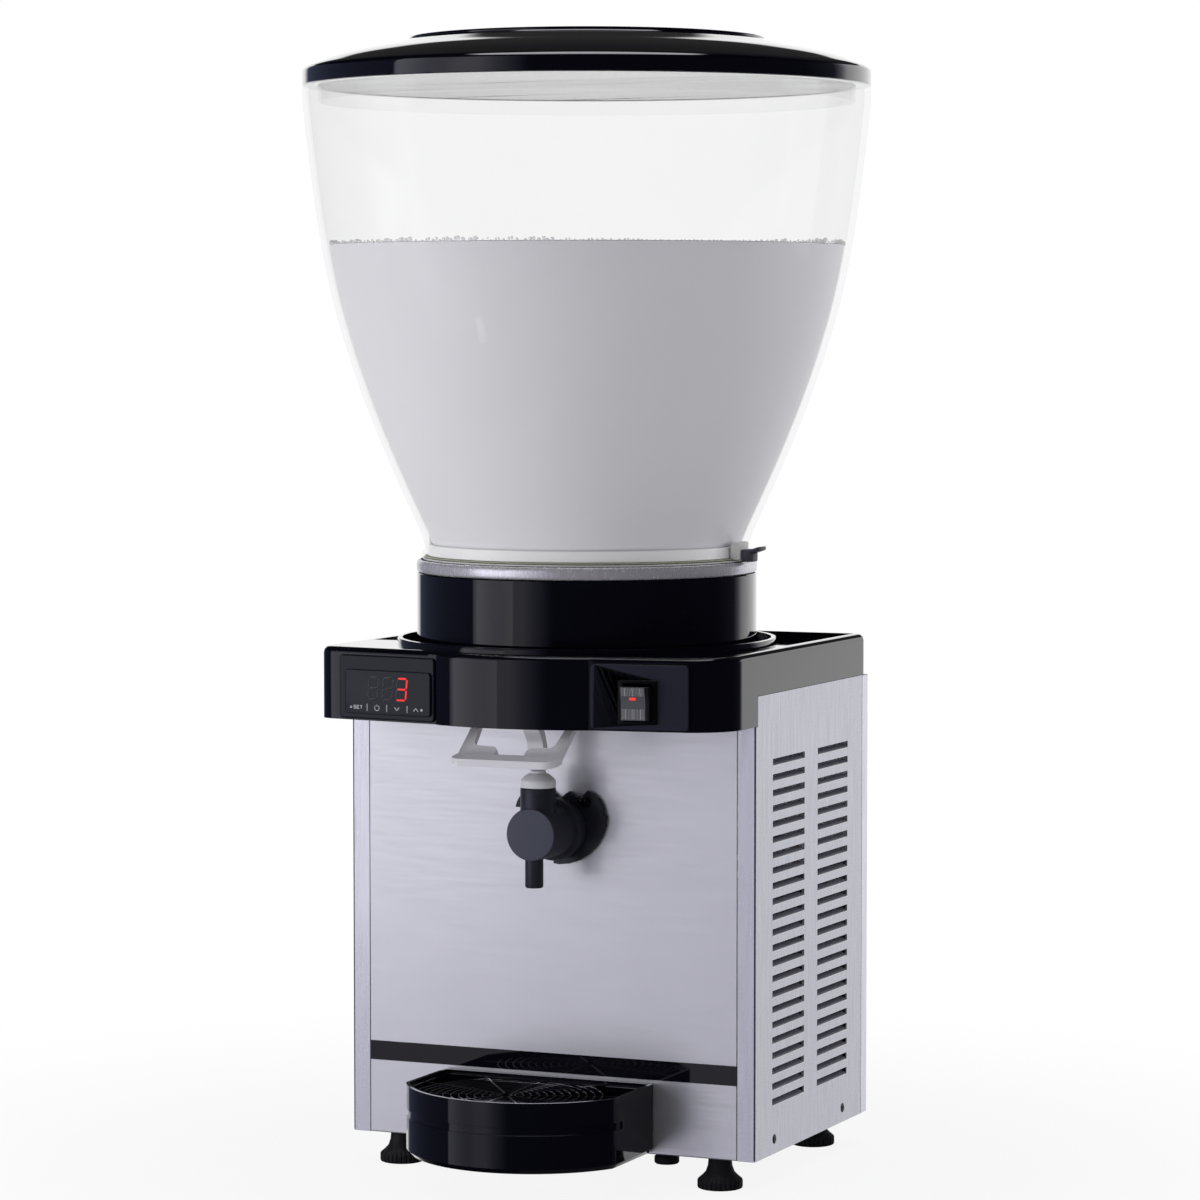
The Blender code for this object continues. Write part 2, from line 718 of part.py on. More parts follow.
def make_rear_panel():
    """Rear sheet with two returns, a bank of slots and the gland's hole."""
    ret = BACK - REAR_RETURN
    outline = [(SIDE, ret), (SIDE, BACK), (-SIDE, BACK), (-SIDE, ret), (-SIDE + SHEET, ret),
               (-SIDE + SHEET, BACK - SHEET), (SIDE - SHEET, BACK - SHEET), (SIDE - SHEET, ret)]
    panel = prism("rear_panel", outline, CABINET_BOTTOM, CABINET_TOP)
    slots = []
    for number in range(REAR_SLOTS):
        low = REAR_SLOT_LOW + REAR_SLOT_PITCH * number
        slots.append(box("slot", (-REAR_SLOT_HALF_LENGTH, BACK - SHEET - OVERRUN, low),
                         (REAR_SLOT_HALF_LENGTH, BACK + OVERRUN, low + REAR_SLOT_HEIGHT)))
    cut(panel, group("slots", slots))
    return cut(panel, rod("hole", (GLAND_X, BACK - SHEET - OVERRUN, GLAND_Z),
                          (GLAND_X, BACK + OVERRUN, GLAND_Z), GLAND_RADIUS + TOUCH))


def make_front_stripe():
    """Thin black strip across the front panel."""
    half = SIDE - POST_WIDTH - TOUCH
    return box("front_stripe", (-half, FRONT - TOUCH - STRIPE_THICKNESS, STRIPE_LOW),
               (half, FRONT - TOUCH, STRIPE_HIGH))


def make_deck_plate():
    """Shelf at the top of the cabinet that carries the cooled seat and the motor."""
    half = SIDE - HOOD_WALL - TOUCH
    front = FRONT + SHEET + TOUCH
    back = BACK - SHEET - TOUCH
    under = CABINET_TOP - BASE_SHEET
    low = CABINET_TOP - DECK_FLANGE
    near = front + BASE_SHEET
    far = back - BASE_SHEET
    outline = [(front, low), (near, low), (near, under), (far, under), (far, low), (back, low),
               (back, CABINET_TOP), (front, CABINET_TOP)]
    plate = prism("deck_plate", outline, -half, half, "X")
    for x, y, radius in ((0.0, 0.0, DRIVE_SHAFT_RADIUS * 3), (TAP_X, STUB_Y, STUB_RADIUS + TOUCH)):
        cut(plate, rod("hole", (x, y, low - OVERRUN), (x, y, CABINET_TOP + OVERRUN), radius))
    return plate


def hood_corner(side, radius, inset):
    """Returns the centre of a front corner's arc of the hood."""
    reach = HOOD_FACE_X * math.sin(HOOD_FACE_ANGLE) + HOOD_FACE_Y * math.cos(HOOD_FACE_ANGLE)
    x = SIDE - radius
    y = -(reach - radius - x * math.sin(HOOD_FACE_ANGLE)) / math.cos(HOOD_FACE_ANGLE)
    return (side * x, y), radius - inset


def hood_outline(inset):
    """Returns the hood's plan, drawn in by an inset: two slanted faces beside a round bulge."""
    reach = HOOD_FACE_X * math.sin(HOOD_FACE_ANGLE) + HOOD_FACE_Y * math.cos(HOOD_FACE_ANGLE) - inset
    bulge = HOOD_BULGE_RADIUS - inset
    crease = HOOD_FACE_ANGLE + math.acos(reach / bulge)
    down = -math.pi / 2
    points = arc((0.0, 0.0), bulge, down - crease, down + crease, ARC_STEPS * 2)
    centre, radius = hood_corner(1, HOOD_CORNER_RIGHT, inset)
    points += arc(centre, radius, down + HOOD_FACE_ANGLE, 0.0, ARC_STEPS)
    rear = BACK - HOOD_CORNER_REAR
    radius = HOOD_CORNER_REAR - inset
    points += arc((SIDE - HOOD_CORNER_REAR, rear), radius, 0.0, math.pi / 2, ARC_STEPS // 2)
    points += arc((HOOD_CORNER_REAR - SIDE, rear), radius, math.pi / 2, math.pi, ARC_STEPS // 2)
    centre, radius = hood_corner(-1, HOOD_CORNER_LEFT, inset)
    points += arc(centre, radius, math.pi, 1.5 * math.pi - HOOD_FACE_ANGLE, ARC_STEPS // 2)
    return points


def block_frame(x, z):
    """Returns the matrix of a front block's raised pad: X along the face, Y inwards, Z up."""
    side = math.copysign(1.0, x)
    y = -HOOD_FACE_Y + (abs(x) - HOOD_FACE_X) * math.tan(HOOD_FACE_ANGLE)
    y -= PAD_PROUD / math.cos(HOOD_FACE_ANGLE)
    return Matrix.Translation((x, y, z)) @ Matrix.Rotation(side * HOOD_FACE_ANGLE, 4, "Z")


def block_box(name, frame, width, height, near, far):
    """Makes a box centred on a block's face, from near to far behind it."""
    made = box(name, (-width / 2, near, -height / 2), (width / 2, far, height / 2))
    return turn_mesh(made, frame)


def make_hood():
    """Black moulded cover: front blocks, round bulge, collar round the seat and shallow top recess."""
    shell = prism("top_hood", hood_outline(0.0), HOOD_FRONT_LOW, HOOD_TOP)
    rounded = bmesh.new()
    rounded.from_mesh(shell.data)
    bpy.data.objects.remove(shell)
    rim = [edge for edge in rounded.edges if all(v.co.z > HOOD_TOP - TOUCH for v in edge.verts)]
    bmesh.ops.bevel(rounded, geom=rim, offset=HOOD_EDGE_ROUND, segments=3, profile=0.5, affect="EDGES")
    shell = place_mesh("top_hood", rounded)
    under = COLLAR_FLOOR - COLLAR_FLOOR_THICKNESS
    rim_x = SIDE - RECESS_RIM
    rim_y = BACK - RECESS_RIM
    cut(shell, box("recess", (-rim_x, -RECESS_FRONT, RECESS_FLOOR), (rim_x, rim_y, HOOD_TOP + OVERRUN)))
    fuse(shell, rod("collar", (0.0, 0.0, under), (0.0, 0.0, COLLAR_TOP), COLLAR_RADIUS, ROUND_LARGE))
    step = FRONT + HOOD_STEP_SETBACK
    cut(shell, box("rear_step", (-SIDE - OVERRUN, step, HOOD_FRONT_LOW - OVERRUN),
                   (SIDE + OVERRUN, BACK + OVERRUN, CABINET_TOP + TOUCH)))
    cut(shell, prism("room", hood_outline(HOOD_WALL), HOOD_FRONT_LOW - OVERRUN, under))
    cut(shell, rod("channel", (0.0, 0.0, COLLAR_FLOOR), (0.0, 0.0, COLLAR_TOP + OVERRUN),
                   COLLAR_RADIUS - COLLAR_WALL, ROUND_LARGE))
    cut(shell, rod("hole", (0.0, 0.0, under - OVERRUN), (0.0, 0.0, COLLAR_FLOOR + OVERRUN),
                   COLLAR_HOLE_RADIUS, ROUND_LARGE))
    for x, width in ((PAD_LEFT_X, PAD_LEFT_WIDTH), (PAD_RIGHT_X, PAD_RIGHT_WIDTH)):
        fuse(shell, block_box("pad", block_frame(x, PAD_Z), width, PAD_HEIGHT, 0.0, PAD_PROUD + TOUCH))
    for x, z, width, height in ((THERMOSTAT_X, THERMOSTAT_Z, THERMOSTAT_BODY_WIDTH, THERMOSTAT_BODY_HEIGHT),
                                (SWITCH_X, SWITCH_Z, SWITCH_BODY_WIDTH, SWITCH_BODY_HEIGHT)):
        cut(shell, block_box("window", block_frame(x, z), width + 2 * TOUCH, height + 2 * TOUCH,
                             -OVERRUN, 2 * HOOD_WALL))
    return shell


def make_housing():
    """Black band round the cooled seat, standing on the hood's collar."""
    low = COLLAR_FLOOR + TOUCH
    inner = HOUSING_RADIUS - HOUSING_WALL
    return turned("evaporator_housing", [(HOUSING_RADIUS, HOUSING_TOP), (HOUSING_RADIUS, low), (inner, low),
                                         (inner, HOUSING_TOP)], ROUND_LARGE)


def dish_rim_top():
    """Returns the height of the dish's rim."""
    return HOUSING_TOP + TOUCH + DISH_RIM_THICKNESS


def make_dish():
    """Stainless dish under the bowl: rolled rim, straight wall, flat floor, outlet stub and pin."""
    top = dish_rim_top()
    low = HOUSING_TOP + TOUCH
    outer = DISH_WALL_RADIUS
    inner = DISH_WALL_RADIUS - DISH_SHEET
    under = DISH_FLOOR - DISH_SHEET
    edge = HOUSING_RADIUS
    roll = DISH_RIM_THICKNESS / 2
    profile = [(0.0, DISH_FLOOR), (inner - DISH_CORNER, DISH_FLOOR), (inner, DISH_FLOOR + DISH_CORNER),
               (inner, top - DISH_SHEET), (inner + DISH_SHEET, top), (edge - DISH_SHEET * 2, top),
               (edge, top - DISH_SHEET * 2), (edge, low + roll / 2), (edge - DISH_SHEET, low),
               (outer, low), (outer, DISH_FLOOR + DISH_CORNER - DISH_SHEET), (outer - DISH_CORNER, under),
               (0.0, under)]
    dish = turned("evaporator_dish", profile, ROUND_LARGE)
    fuse(dish, rod("stub", (TAP_X, STUB_Y, STUB_LOW), (TAP_X, STUB_Y, DISH_FLOOR - DISH_SHEET / 2),
                   STUB_RADIUS))
    fuse(dish, make_impeller_pin())
    return cut(dish, rod("bore", (TAP_X, STUB_Y, STUB_LOW - OVERRUN), (TAP_X, STUB_Y, DISH_FLOOR + OVERRUN),
                         STUB_RADIUS - STUB_WALL))


def make_coil():
    """Copper tube wound round the dish's wall."""
    radius = DISH_WALL_RADIUS + COIL_GAP + COIL_WIRE_RADIUS
    steps = COIL_TURNS * ROUND_COIL
    points = []
    for number in range(steps + 1):
        angle = math.tau * number / ROUND_COIL
        height = COIL_LOW + COIL_PITCH * number / ROUND_COIL
        points.append((radius * math.cos(angle), radius * math.sin(angle), height))
    print("evaporator coil: gap between turns", round(COIL_PITCH - 2 * COIL_WIRE_RADIUS, 5))
    return tube("evaporator_coil", points, COIL_WIRE_RADIUS, 1)


def make_insulation():
    """Foam cup round the coil and under the dish, with a well for the drive magnet."""
    coil_edge = DISH_WALL_RADIUS + COIL_GAP * 2 + COIL_WIRE_RADIUS * 2
    outer = HOUSING_RADIUS - HOUSING_WALL - TOUCH
    neck = COLLAR_HOLE_RADIUS - TOUCH * 2
    top = HOUSING_TOP - TOUCH
    floor = DISH_FLOOR - DISH_SHEET - TOUCH
    low = CABINET_TOP + TOUCH
    shoulder = COLLAR_FLOOR + TOUCH
    under = COLLAR_FLOOR - COLLAR_FLOOR_THICKNESS - HOOD_WALL
    foot = INSULATION_FOOT_RADIUS
    well = INSULATION_WELL_RADIUS
    profile = [(outer, top), (outer, shoulder), (neck, shoulder), (neck, under), (foot, under), (foot, low),
               (well, low), (well, floor), (coil_edge, floor), (coil_edge, top)]
    cup = turned("insulation_cup", profile, ROUND_LARGE)
    return cut(cup, rod("hole", (TAP_X, STUB_Y, low - OVERRUN), (TAP_X, STUB_Y, floor + OVERRUN),
                        STUB_RADIUS + TOUCH))


def make_gasket():
    """Silicone ring between the dish's rim and the bowl."""
    low = dish_rim_top() + TOUCH
    high = low + GASKET_HEIGHT
    outer = HOUSING_RADIUS - GASKET_OUTER_INSET
    inner = HOUSING_RADIUS - GASKET_INNER_INSET
    return turned("bowl_gasket", [(outer, high), (outer, low), (inner, low), (inner, high)], ROUND_LARGE)


def bowl_foot_low():
    """Returns the height of the underside of the bowl's foot."""
    return dish_rim_top() + TOUCH * 2 + GASKET_HEIGHT


def bowl_profile():
    """Returns the outside radius and height of the bowl, top to bottom."""
    low = bowl_foot_low()
    return [(BOWL_FOOT_RADIUS + reach, low + rise) for reach, rise in BOWL_FLARE]


def lid_profile():
    """Returns the radius and height of the lid's top, outside to inside."""
    rim, level = bowl_profile()[0]
    return [(rim + reach, level + rise) for reach, rise in LID_DOME]


def latch_edge():
    """Returns the radius at which the latch begins, and the height of its top."""
    return BOWL_FOOT_RADIUS + BOWL_LUG_REACH + TOUCH, bowl_foot_low() + LATCH_RISE


def make_bowl():
    """Clear bowl, open above and below, with a foot ring and a lug on each side."""
    low = bowl_foot_low()
    foot_top = low + BOWL_FOOT_HEIGHT
    profile = bowl_profile()
    neck = profile[-1][0]
    outer = [*profile, (neck, foot_top), (BOWL_FOOT_RADIUS, foot_top), (BOWL_FOOT_RADIUS, low)]
    inner = [(neck - BOWL_WALL, low)]
    inner += [(radius - BOWL_WALL, height) for radius, height in reversed(profile)]
    bowl = turned("bowl", outer + inner, ROUND_LARGE)
    for side in (-1, 1):
        ends = sorted((side * (neck - BOWL_WALL / 2), side * (BOWL_FOOT_RADIUS + BOWL_LUG_REACH)))
        half = BOWL_LUG_WIDTH / 2
        fuse(bowl, box("lug", (ends[0], -half, low + TOUCH), (ends[1], half, low + BOWL_LUG_HEIGHT)))
    return bowl


def make_latch():
    """Grey catch hung on the bowl's right lug."""
    near, high = latch_edge()
    low = bowl_foot_low() - LATCH_DROP
    far = near + LATCH_DEPTH
    outline = [(near, low), (far, low), (far, high - LATCH_WING_THICKNESS),
               (far + LATCH_WING, high - LATCH_WING_THICKNESS / 2), (far + LATCH_WING, high), (near, high)]
    return prism("bowl_latch", outline, -LATCH_WIDTH / 2, LATCH_WIDTH / 2, "Y")


def make_lid():
    """Black lid: skirt, sloping top, raised disc and an inner plug ring."""
    rim, level = bowl_profile()[0]
    profile = lid_profile()
    bottom = profile[0][1]
    step = profile[-1][1]
    disc = rim - LID_DISC_INSET
    high = step + LID_DISC_STEP
    top = [*profile, (disc, step), (disc, high - TOUCH * 3), (disc - TOUCH * 3, high), (0.0, high)]
    under = [(0.0, high - LID_WALL), (disc - LID_WALL, high - LID_WALL), (disc - LID_WALL, step - LID_WALL)]
    under += [(radius, height - LID_WALL) for radius, height in reversed(profile[4:-1])]
    plug = rim - LID_PLUG_INSET
    plug_inner = plug - LID_PLUG_WALL
    plug_low = level - LID_PLUG_DEPTH
    root = profile[4][1] - 2 * LID_WALL
    under += [(plug_inner - LID_WALL, root), (plug_inner, root - LID_WALL), (plug_inner, plug_low),
              (plug, plug_low), (plug, bottom)]
    return turned("lid", top + under, ROUND_LARGE)


def make_tap_body():
    """Grey tap: horizontal body with its shank, upright barrel, and the bores that meet in it."""
    hub_front = FRONT - TOUCH - FLANGE_THICKNESS - TAP_HUB_LENGTH
    inner = TAP_SHANK_END
    back_y = (0.0, 1.0, 0.0)
    reach = FRONT - TOUCH * 2 - FLANGE_THICKNESS
    profile = [(0.0, 0.0), (TAP_RADIUS - TOUCH * 3, 0.0), (TAP_RADIUS, TOUCH * 3),
               (TAP_RADIUS, hub_front - TAP_FACE_Y), (TAP_HUB_RADIUS - TOUCH * 5, hub_front - TAP_FACE_Y),
               (TAP_HUB_RADIUS, hub_front - TAP_FACE_Y + TOUCH * 5), (TAP_HUB_RADIUS, reach - TAP_FACE_Y),
               (TAP_SHANK_RADIUS, reach - TAP_FACE_Y), (TAP_SHANK_RADIUS, inner - TAP_FACE_Y),
               (0.0, inner - TAP_FACE_Y)]
    body = turned("tap_body", profile, ROUND_MEDIUM, (TAP_X, TAP_FACE_Y, TAP_Z), back_y)
    fuse(body, rod("barrel", (TAP_X, BARREL_Y, TAP_Z), (TAP_X, BARREL_Y, BARREL_TOP), BARREL_RADIUS,
                   ROUND_MEDIUM))
    cut(body, rod("inlet", (TAP_X, BARREL_Y, TAP_Z), (TAP_X, inner + OVERRUN, TAP_Z), TAP_INLET_RADIUS))
    cut(body, rod("bore", (TAP_X, BARREL_Y, BARREL_FLOOR), (TAP_X, BARREL_Y, BARREL_TOP + OVERRUN),
                  BARREL_BORE))
    low = TAP_Z - TAP_RADIUS - OVERRUN
    cut(body, rod("drain", (TAP_X, DRAIN_Y, low), (TAP_X, DRAIN_Y, BARREL_FLOOR + TOUCH), DRAIN_RADIUS))
    cut(body, rod("socket", (TAP_X, NOZZLE_Y, low), (TAP_X, NOZZLE_Y, NOZZLE_TOP + TOUCH),
                  NOZZLE_RADIUS + TOUCH))
    return body


def make_nozzle():
    """Spout under the tap."""
    edge = NOZZLE_RADIUS - NOZZLE_CHAMFER
    profile = [(NOZZLE_RADIUS, NOZZLE_TOP), (NOZZLE_RADIUS, NOZZLE_LOW + NOZZLE_CHAMFER), (edge, NOZZLE_LOW),
               (NOZZLE_BORE, NOZZLE_LOW), (NOZZLE_BORE, NOZZLE_TOP)]
    return turned("tap_nozzle", profile, ROUND_SMALL, (TAP_X, NOZZLE_Y, 0.0))


def make_flange():
    """Plate behind the tap: round lower lobe, notched waist and an ear for each screw."""
    back = FRONT - TOUCH
    front = back - FLANGE_THICKNESS
    top = FLANGE_Z + FLANGE_WAIST
    notch_x = FLANGE_X - FLANGE_SCREW_RADIUS
    left = FLANGE_X - FLANGE_RADIUS - OVERRUN
    right = FLANGE_X + FLANGE_RADIUS + OVERRUN
    near = front - OVERRUN
    far = back + OVERRUN
    plate = rod("tap_flange", (FLANGE_X, front, FLANGE_Z), (FLANGE_X, back, FLANGE_Z), FLANGE_RADIUS,
                ROUND_MEDIUM)
    cut(plate, box("top_cut", (left, near, FLANGE_Z), (right, far, top + FLANGE_RADIUS)))
    low = FLANGE_Z - FLANGE_RADIUS - OVERRUN
    cut(plate, box("left_cut", (left, near, low), (notch_x, far, FLANGE_Z + OVERRUN)))
    for side in (-1, 1):
        x = FLANGE_X + side * FLANGE_EAR_OFFSET
        fuse(plate, rod("ear", (x, front, FLANGE_Z), (x, back, FLANGE_Z), FLANGE_EAR_RADIUS, ROUND_MEDIUM))
    cut(plate, rod("hole", (TAP_X, front - OVERRUN, TAP_Z), (TAP_X, back + OVERRUN, TAP_Z),
                   TAP_SHANK_RADIUS + TAP_SHANK_GAP))
    return plate


def make_flange_screw(name, side):
    """Pan head screw in one ear of the flange."""
    front = FRONT - TOUCH * 2 - FLANGE_THICKNESS
    profile = [(0.0, 0.0), (FLANGE_SCREW_RADIUS, 0.0), (FLANGE_SCREW_RADIUS, FLANGE_SCREW_HEAD / 2),
               (FLANGE_SCREW_RADIUS / 2, FLANGE_SCREW_HEAD), (0.0, FLANGE_SCREW_HEAD)]
    x = FLANGE_X + side * FLANGE_SCREW_SPREAD
    return turned(name, profile, ROUND_SMALL, (x, front, FLANGE_SCREW_Z), (0.0, -1.0, 0.0))


def make_tap_nut():
    """Hexagonal nut that holds the tap's shank behind the front panel."""
    near = FRONT + SHEET + TOUCH
    nut = rod("tap_nut", (TAP_X, near, TAP_Z), (TAP_X, near + NUT_LENGTH, TAP_Z), NUT_RADIUS, 6)
    return cut(nut, rod("hole", (TAP_X, near - OVERRUN, TAP_Z), (TAP_X, near + NUT_LENGTH + OVERRUN, TAP_Z),
                        TAP_SHANK_RADIUS + TAP_SHANK_GAP))


def make_tap_cap():
    """White cap on the barrel, with a cone and the hole for the piston's stem."""
    low = BARREL_TOP + TOUCH
    hole = PISTON_NECK_RADIUS + TOUCH
    profile = [(BARREL_RADIUS, low), (BARREL_RADIUS, CAP_SKIRT_TOP), (CAP_COLLAR_RADIUS, CAP_CONE_TOP),
               (CAP_COLLAR_RADIUS, CAP_COLLAR_TOP), (hole, CAP_COLLAR_TOP), (hole, low)]
    return turned("tap_cap", profile[::-1], ROUND_MEDIUM, (TAP_X, BARREL_Y, 0.0))


def make_piston():
    """White piston: plunger with a seal groove, stem and head."""
    low = BARREL_FLOOR + TOUCH
    groove = PISTON_RADIUS - SEAL_GROOVE
    profile = [(0.0, PISTON_HEAD_HIGH), (PISTON_HEAD_RADIUS, PISTON_HEAD_HIGH),
               (PISTON_HEAD_RADIUS, PISTON_HEAD_LOW), (PISTON_NECK_RADIUS, PISTON_HEAD_LOW),
               (PISTON_NECK_RADIUS, PISTON_TOP), (PISTON_RADIUS, PISTON_TOP)]
    high = SEAL_LEVEL + SEAL_HEIGHT / 2 + TOUCH
    base = SEAL_LEVEL - SEAL_HEIGHT / 2 - TOUCH
    profile += [(PISTON_RADIUS, high), (groove, high), (groove, base), (PISTON_RADIUS, base)]
    profile += [(PISTON_RADIUS, low), (0.0, low)]
    return turned("tap_piston", profile, ROUND_SMALL, (TAP_X, BARREL_Y, 0.0))


def make_piston_seal():
    """Seal ring in the plunger's groove."""
    outer = BARREL_BORE - TOUCH
    inner = PISTON_RADIUS - SEAL_GROOVE + TOUCH
    low = SEAL_LEVEL - SEAL_HEIGHT / 2
    high = SEAL_LEVEL + SEAL_HEIGHT / 2
    profile = [(outer, SEAL_LEVEL), (outer - TOUCH, low), (inner, low), (inner, high), (outer - TOUCH, high)]
    return turned("piston_seal", profile, ROUND_SMALL, (TAP_X, BARREL_Y, 0.0))


def make_spring():
    """Coil spring between the plunger and the cap."""
    low = PISTON_TOP + TOUCH + SPRING_WIRE
    high = BARREL_TOP - SPRING_WIRE
    per_turn = 10
    steps = SPRING_TURNS * per_turn
    points = []
    for number in range(steps + 1):
        angle = math.tau * number / per_turn
        height = low + (high - low) * number / steps
        x, y = arc((TAP_X, BARREL_Y), SPRING_RADIUS, angle, angle, 1)[0]
        points.append((x, y, height))
    print("tap spring: gap between turns", round((high - low) / SPRING_TURNS - 2 * SPRING_WIRE, 5))
    return tube("tap_spring", points, SPRING_WIRE, 1)


def make_lever():
    """White lever: hub on the pin, slanted frame of two arms, paddle in front, and finger with its fork."""
    half = LEVER_FRAME_THICKNESS / 2
    fold = -LEVER_FOLD
    foot = fold + LEVER_FOOT
    low = -half - LEVER_FRAME_DROP
    high = half - LEVER_FRAME_DROP
    plane = Matrix.Translation((TAP_X, LEVER_PIVOT_Y, LEVER_PIVOT_Z)) @ Matrix.Rotation(LEVER_SLOPE, 4, "X")
    start = TAP_X - LEVER_HALF
    end = TAP_X + LEVER_HALF
    lever = rod("tap_lever", (start, LEVER_PIVOT_Y, LEVER_PIVOT_Z), (end, LEVER_PIVOT_Y, LEVER_PIVOT_Z),
                LEVER_HUB_RADIUS)
    for side in (-1, 1):
        outer = side * (LEVER_HALF - TOUCH)
        near = side * (LEVER_HALF - LEVER_ARM_TOP)
        inner = side * (LEVER_HALF - LEVER_ARM_LOW)
        notch = side * LEVER_NOTCH_HALF
        bend = side * half
        outline = [(outer, 0.0), (near, 0.0), (inner, foot + half * 2), (inner - bend, foot + half / 2),
                   (notch + bend, foot), (notch, foot - half), (notch, fold - half), (outer, fold - half)]
        fuse(lever, turn_mesh(prism("arm", outline, low, high), plane))
    far = -PADDLE_LENGTH
    corner = PADDLE_CORNER
    outline = [(LEVER_HALF, half), (-LEVER_HALF, half)]
    outline += arc((corner - LEVER_HALF, far + corner), corner, math.pi, 1.5 * math.pi, 4)
    outline += arc((LEVER_HALF - corner, far + corner), corner, -math.pi / 2, 0.0, 4)
    paddle = prism("paddle", outline, -PADDLE_THICKNESS, 0.0)
    hinge_line = plane @ Vector((0.0, fold, high))
    fuse(lever, turn_mesh(paddle, Matrix.Translation(hinge_line) @ Matrix.Rotation(PADDLE_SLOPE, 4, "X")))
    run = BARREL_Y - LEVER_PIVOT_Y
    base = FORK_TOP - TOUCH * 2
    rise = LEVER_PIVOT_Z - base
    rear_shares = ((0.10, 1.12), (0.58, 0.95), (0.95, 0.56), (1.20, 0.0))
    front_shares = ((0.80, 0.0), (0.70, 0.34), (0.46, 0.62), (0.18, 0.84))
    finger = [(LEVER_PIVOT_Y + a * run, base + b * rise) for a, b in rear_shares + front_shares]
    fuse(lever, prism("finger", finger, TAP_X - FINGER_HALF, TAP_X + FINGER_HALF, "X"))
    fork = rod("fork", (TAP_X, BARREL_Y, FORK_LOW), (TAP_X, BARREL_Y, FORK_TOP), FORK_RADIUS)
    reach = FORK_RADIUS + OVERRUN
    cut(fork, box("cavity", (TAP_X - FORK_CAVITY_HALF, BARREL_Y - reach, FORK_LIP_TOP),
                  (TAP_X + FORK_CAVITY_HALF, BARREL_Y + reach, FORK_CAVITY_TOP)))
    cut(fork, box("slot", (TAP_X - FORK_SLOT_HALF, BARREL_Y - reach, FORK_LOW - OVERRUN),
                  (TAP_X + FORK_SLOT_HALF, BARREL_Y + reach, FORK_LIP_TOP + TOUCH)))
    fuse(lever, fork)
    return cut(lever, rod("bore", (start - OVERRUN, LEVER_PIVOT_Y, LEVER_PIVOT_Z),
                          (end + OVERRUN, LEVER_PIVOT_Y, LEVER_PIVOT_Z), LEVER_PIN_RADIUS + RUNNING_FIT))


def make_lever_pin():
    """Steel pin through the lever's hub and the bracket's ears."""
    reach = BRACKET_HALF + BRACKET_SHEET / 2
    return rod("lever_pin", (TAP_X - reach, LEVER_PIVOT_Y, LEVER_PIVOT_Z),
               (TAP_X + reach, LEVER_PIVOT_Y, LEVER_PIVOT_Z), LEVER_PIN_RADIUS)


def make_lever_bracket():
    """Steel bracket on the front panel, with an ear at each end of the lever's pin."""
    back = FRONT - TOUCH
    low = BRACKET_LOW
    high = CABINET_TOP - DECK_FLANGE / 2
    bracket = box("lever_bracket", (TAP_X - BRACKET_HALF, back - BRACKET_SHEET, low),
                  (TAP_X + BRACKET_HALF, back, high))
    nose = LEVER_PIVOT_Y - BRACKET_NOSE
    for side in (-1, 1):
        inner = TAP_X + side * (BRACKET_HALF - BRACKET_SHEET)
        outer = TAP_X + side * BRACKET_HALF
        ear = [(back - TOUCH, low), (nose, low), (nose, BRACKET_HIGH), (back - TOUCH, high)]
        fuse(bracket, prism("ear", ear, min(inner, outer), max(inner, outer), "X"))
    reach = BRACKET_HALF + OVERRUN
    return cut(bracket, rod("bore", (TAP_X - reach, LEVER_PIVOT_Y, LEVER_PIVOT_Z),
                            (TAP_X + reach, LEVER_PIVOT_Y, LEVER_PIVOT_Z), LEVER_PIN_RADIUS + RUNNING_FIT))


def make_outlet_pipe():
    """Stainless elbow from the dish's stub to the tap's shank."""
    top = STUB_LOW - TOUCH
    end_y = TAP_SHANK_END + TOUCH
    centre = (end_y, TAP_Z + PIPE_BEND)
    route = [(TAP_X, end_y + PIPE_BEND, top)]
    route += [(TAP_X, y, z) for y, z in arc(centre, PIPE_BEND, 0.0, -math.pi / 2, ARC_STEPS)]
    pipe = tube("outlet_pipe", route, PIPE_RADIUS)
    bore_route = [(TAP_X, end_y + PIPE_BEND, top + OVERRUN), *route[1:], (TAP_X, end_y - OVERRUN, TAP_Z)]
    return cut(pipe, tube("bore", bore_route, PIPE_RADIUS - PIPE_WALL))


def tray_outline(inset, back_inset=None):
    """Returns the tray's D shape, drawn in by an inset."""
    half = TRAY_HALF - inset
    radius = TRAY_ARC_RADIUS - inset
    angle = math.acos(half / radius)
    back = TRAY_BACK - (inset if back_inset is None else back_inset)
    points = [(TRAY_X - half, back)]
    points += arc((TRAY_X, TRAY_ARC_Y), radius, math.pi + angle, math.tau - angle, ARC_STEPS * 3)
    points.append((TRAY_X + half, back))
    return points


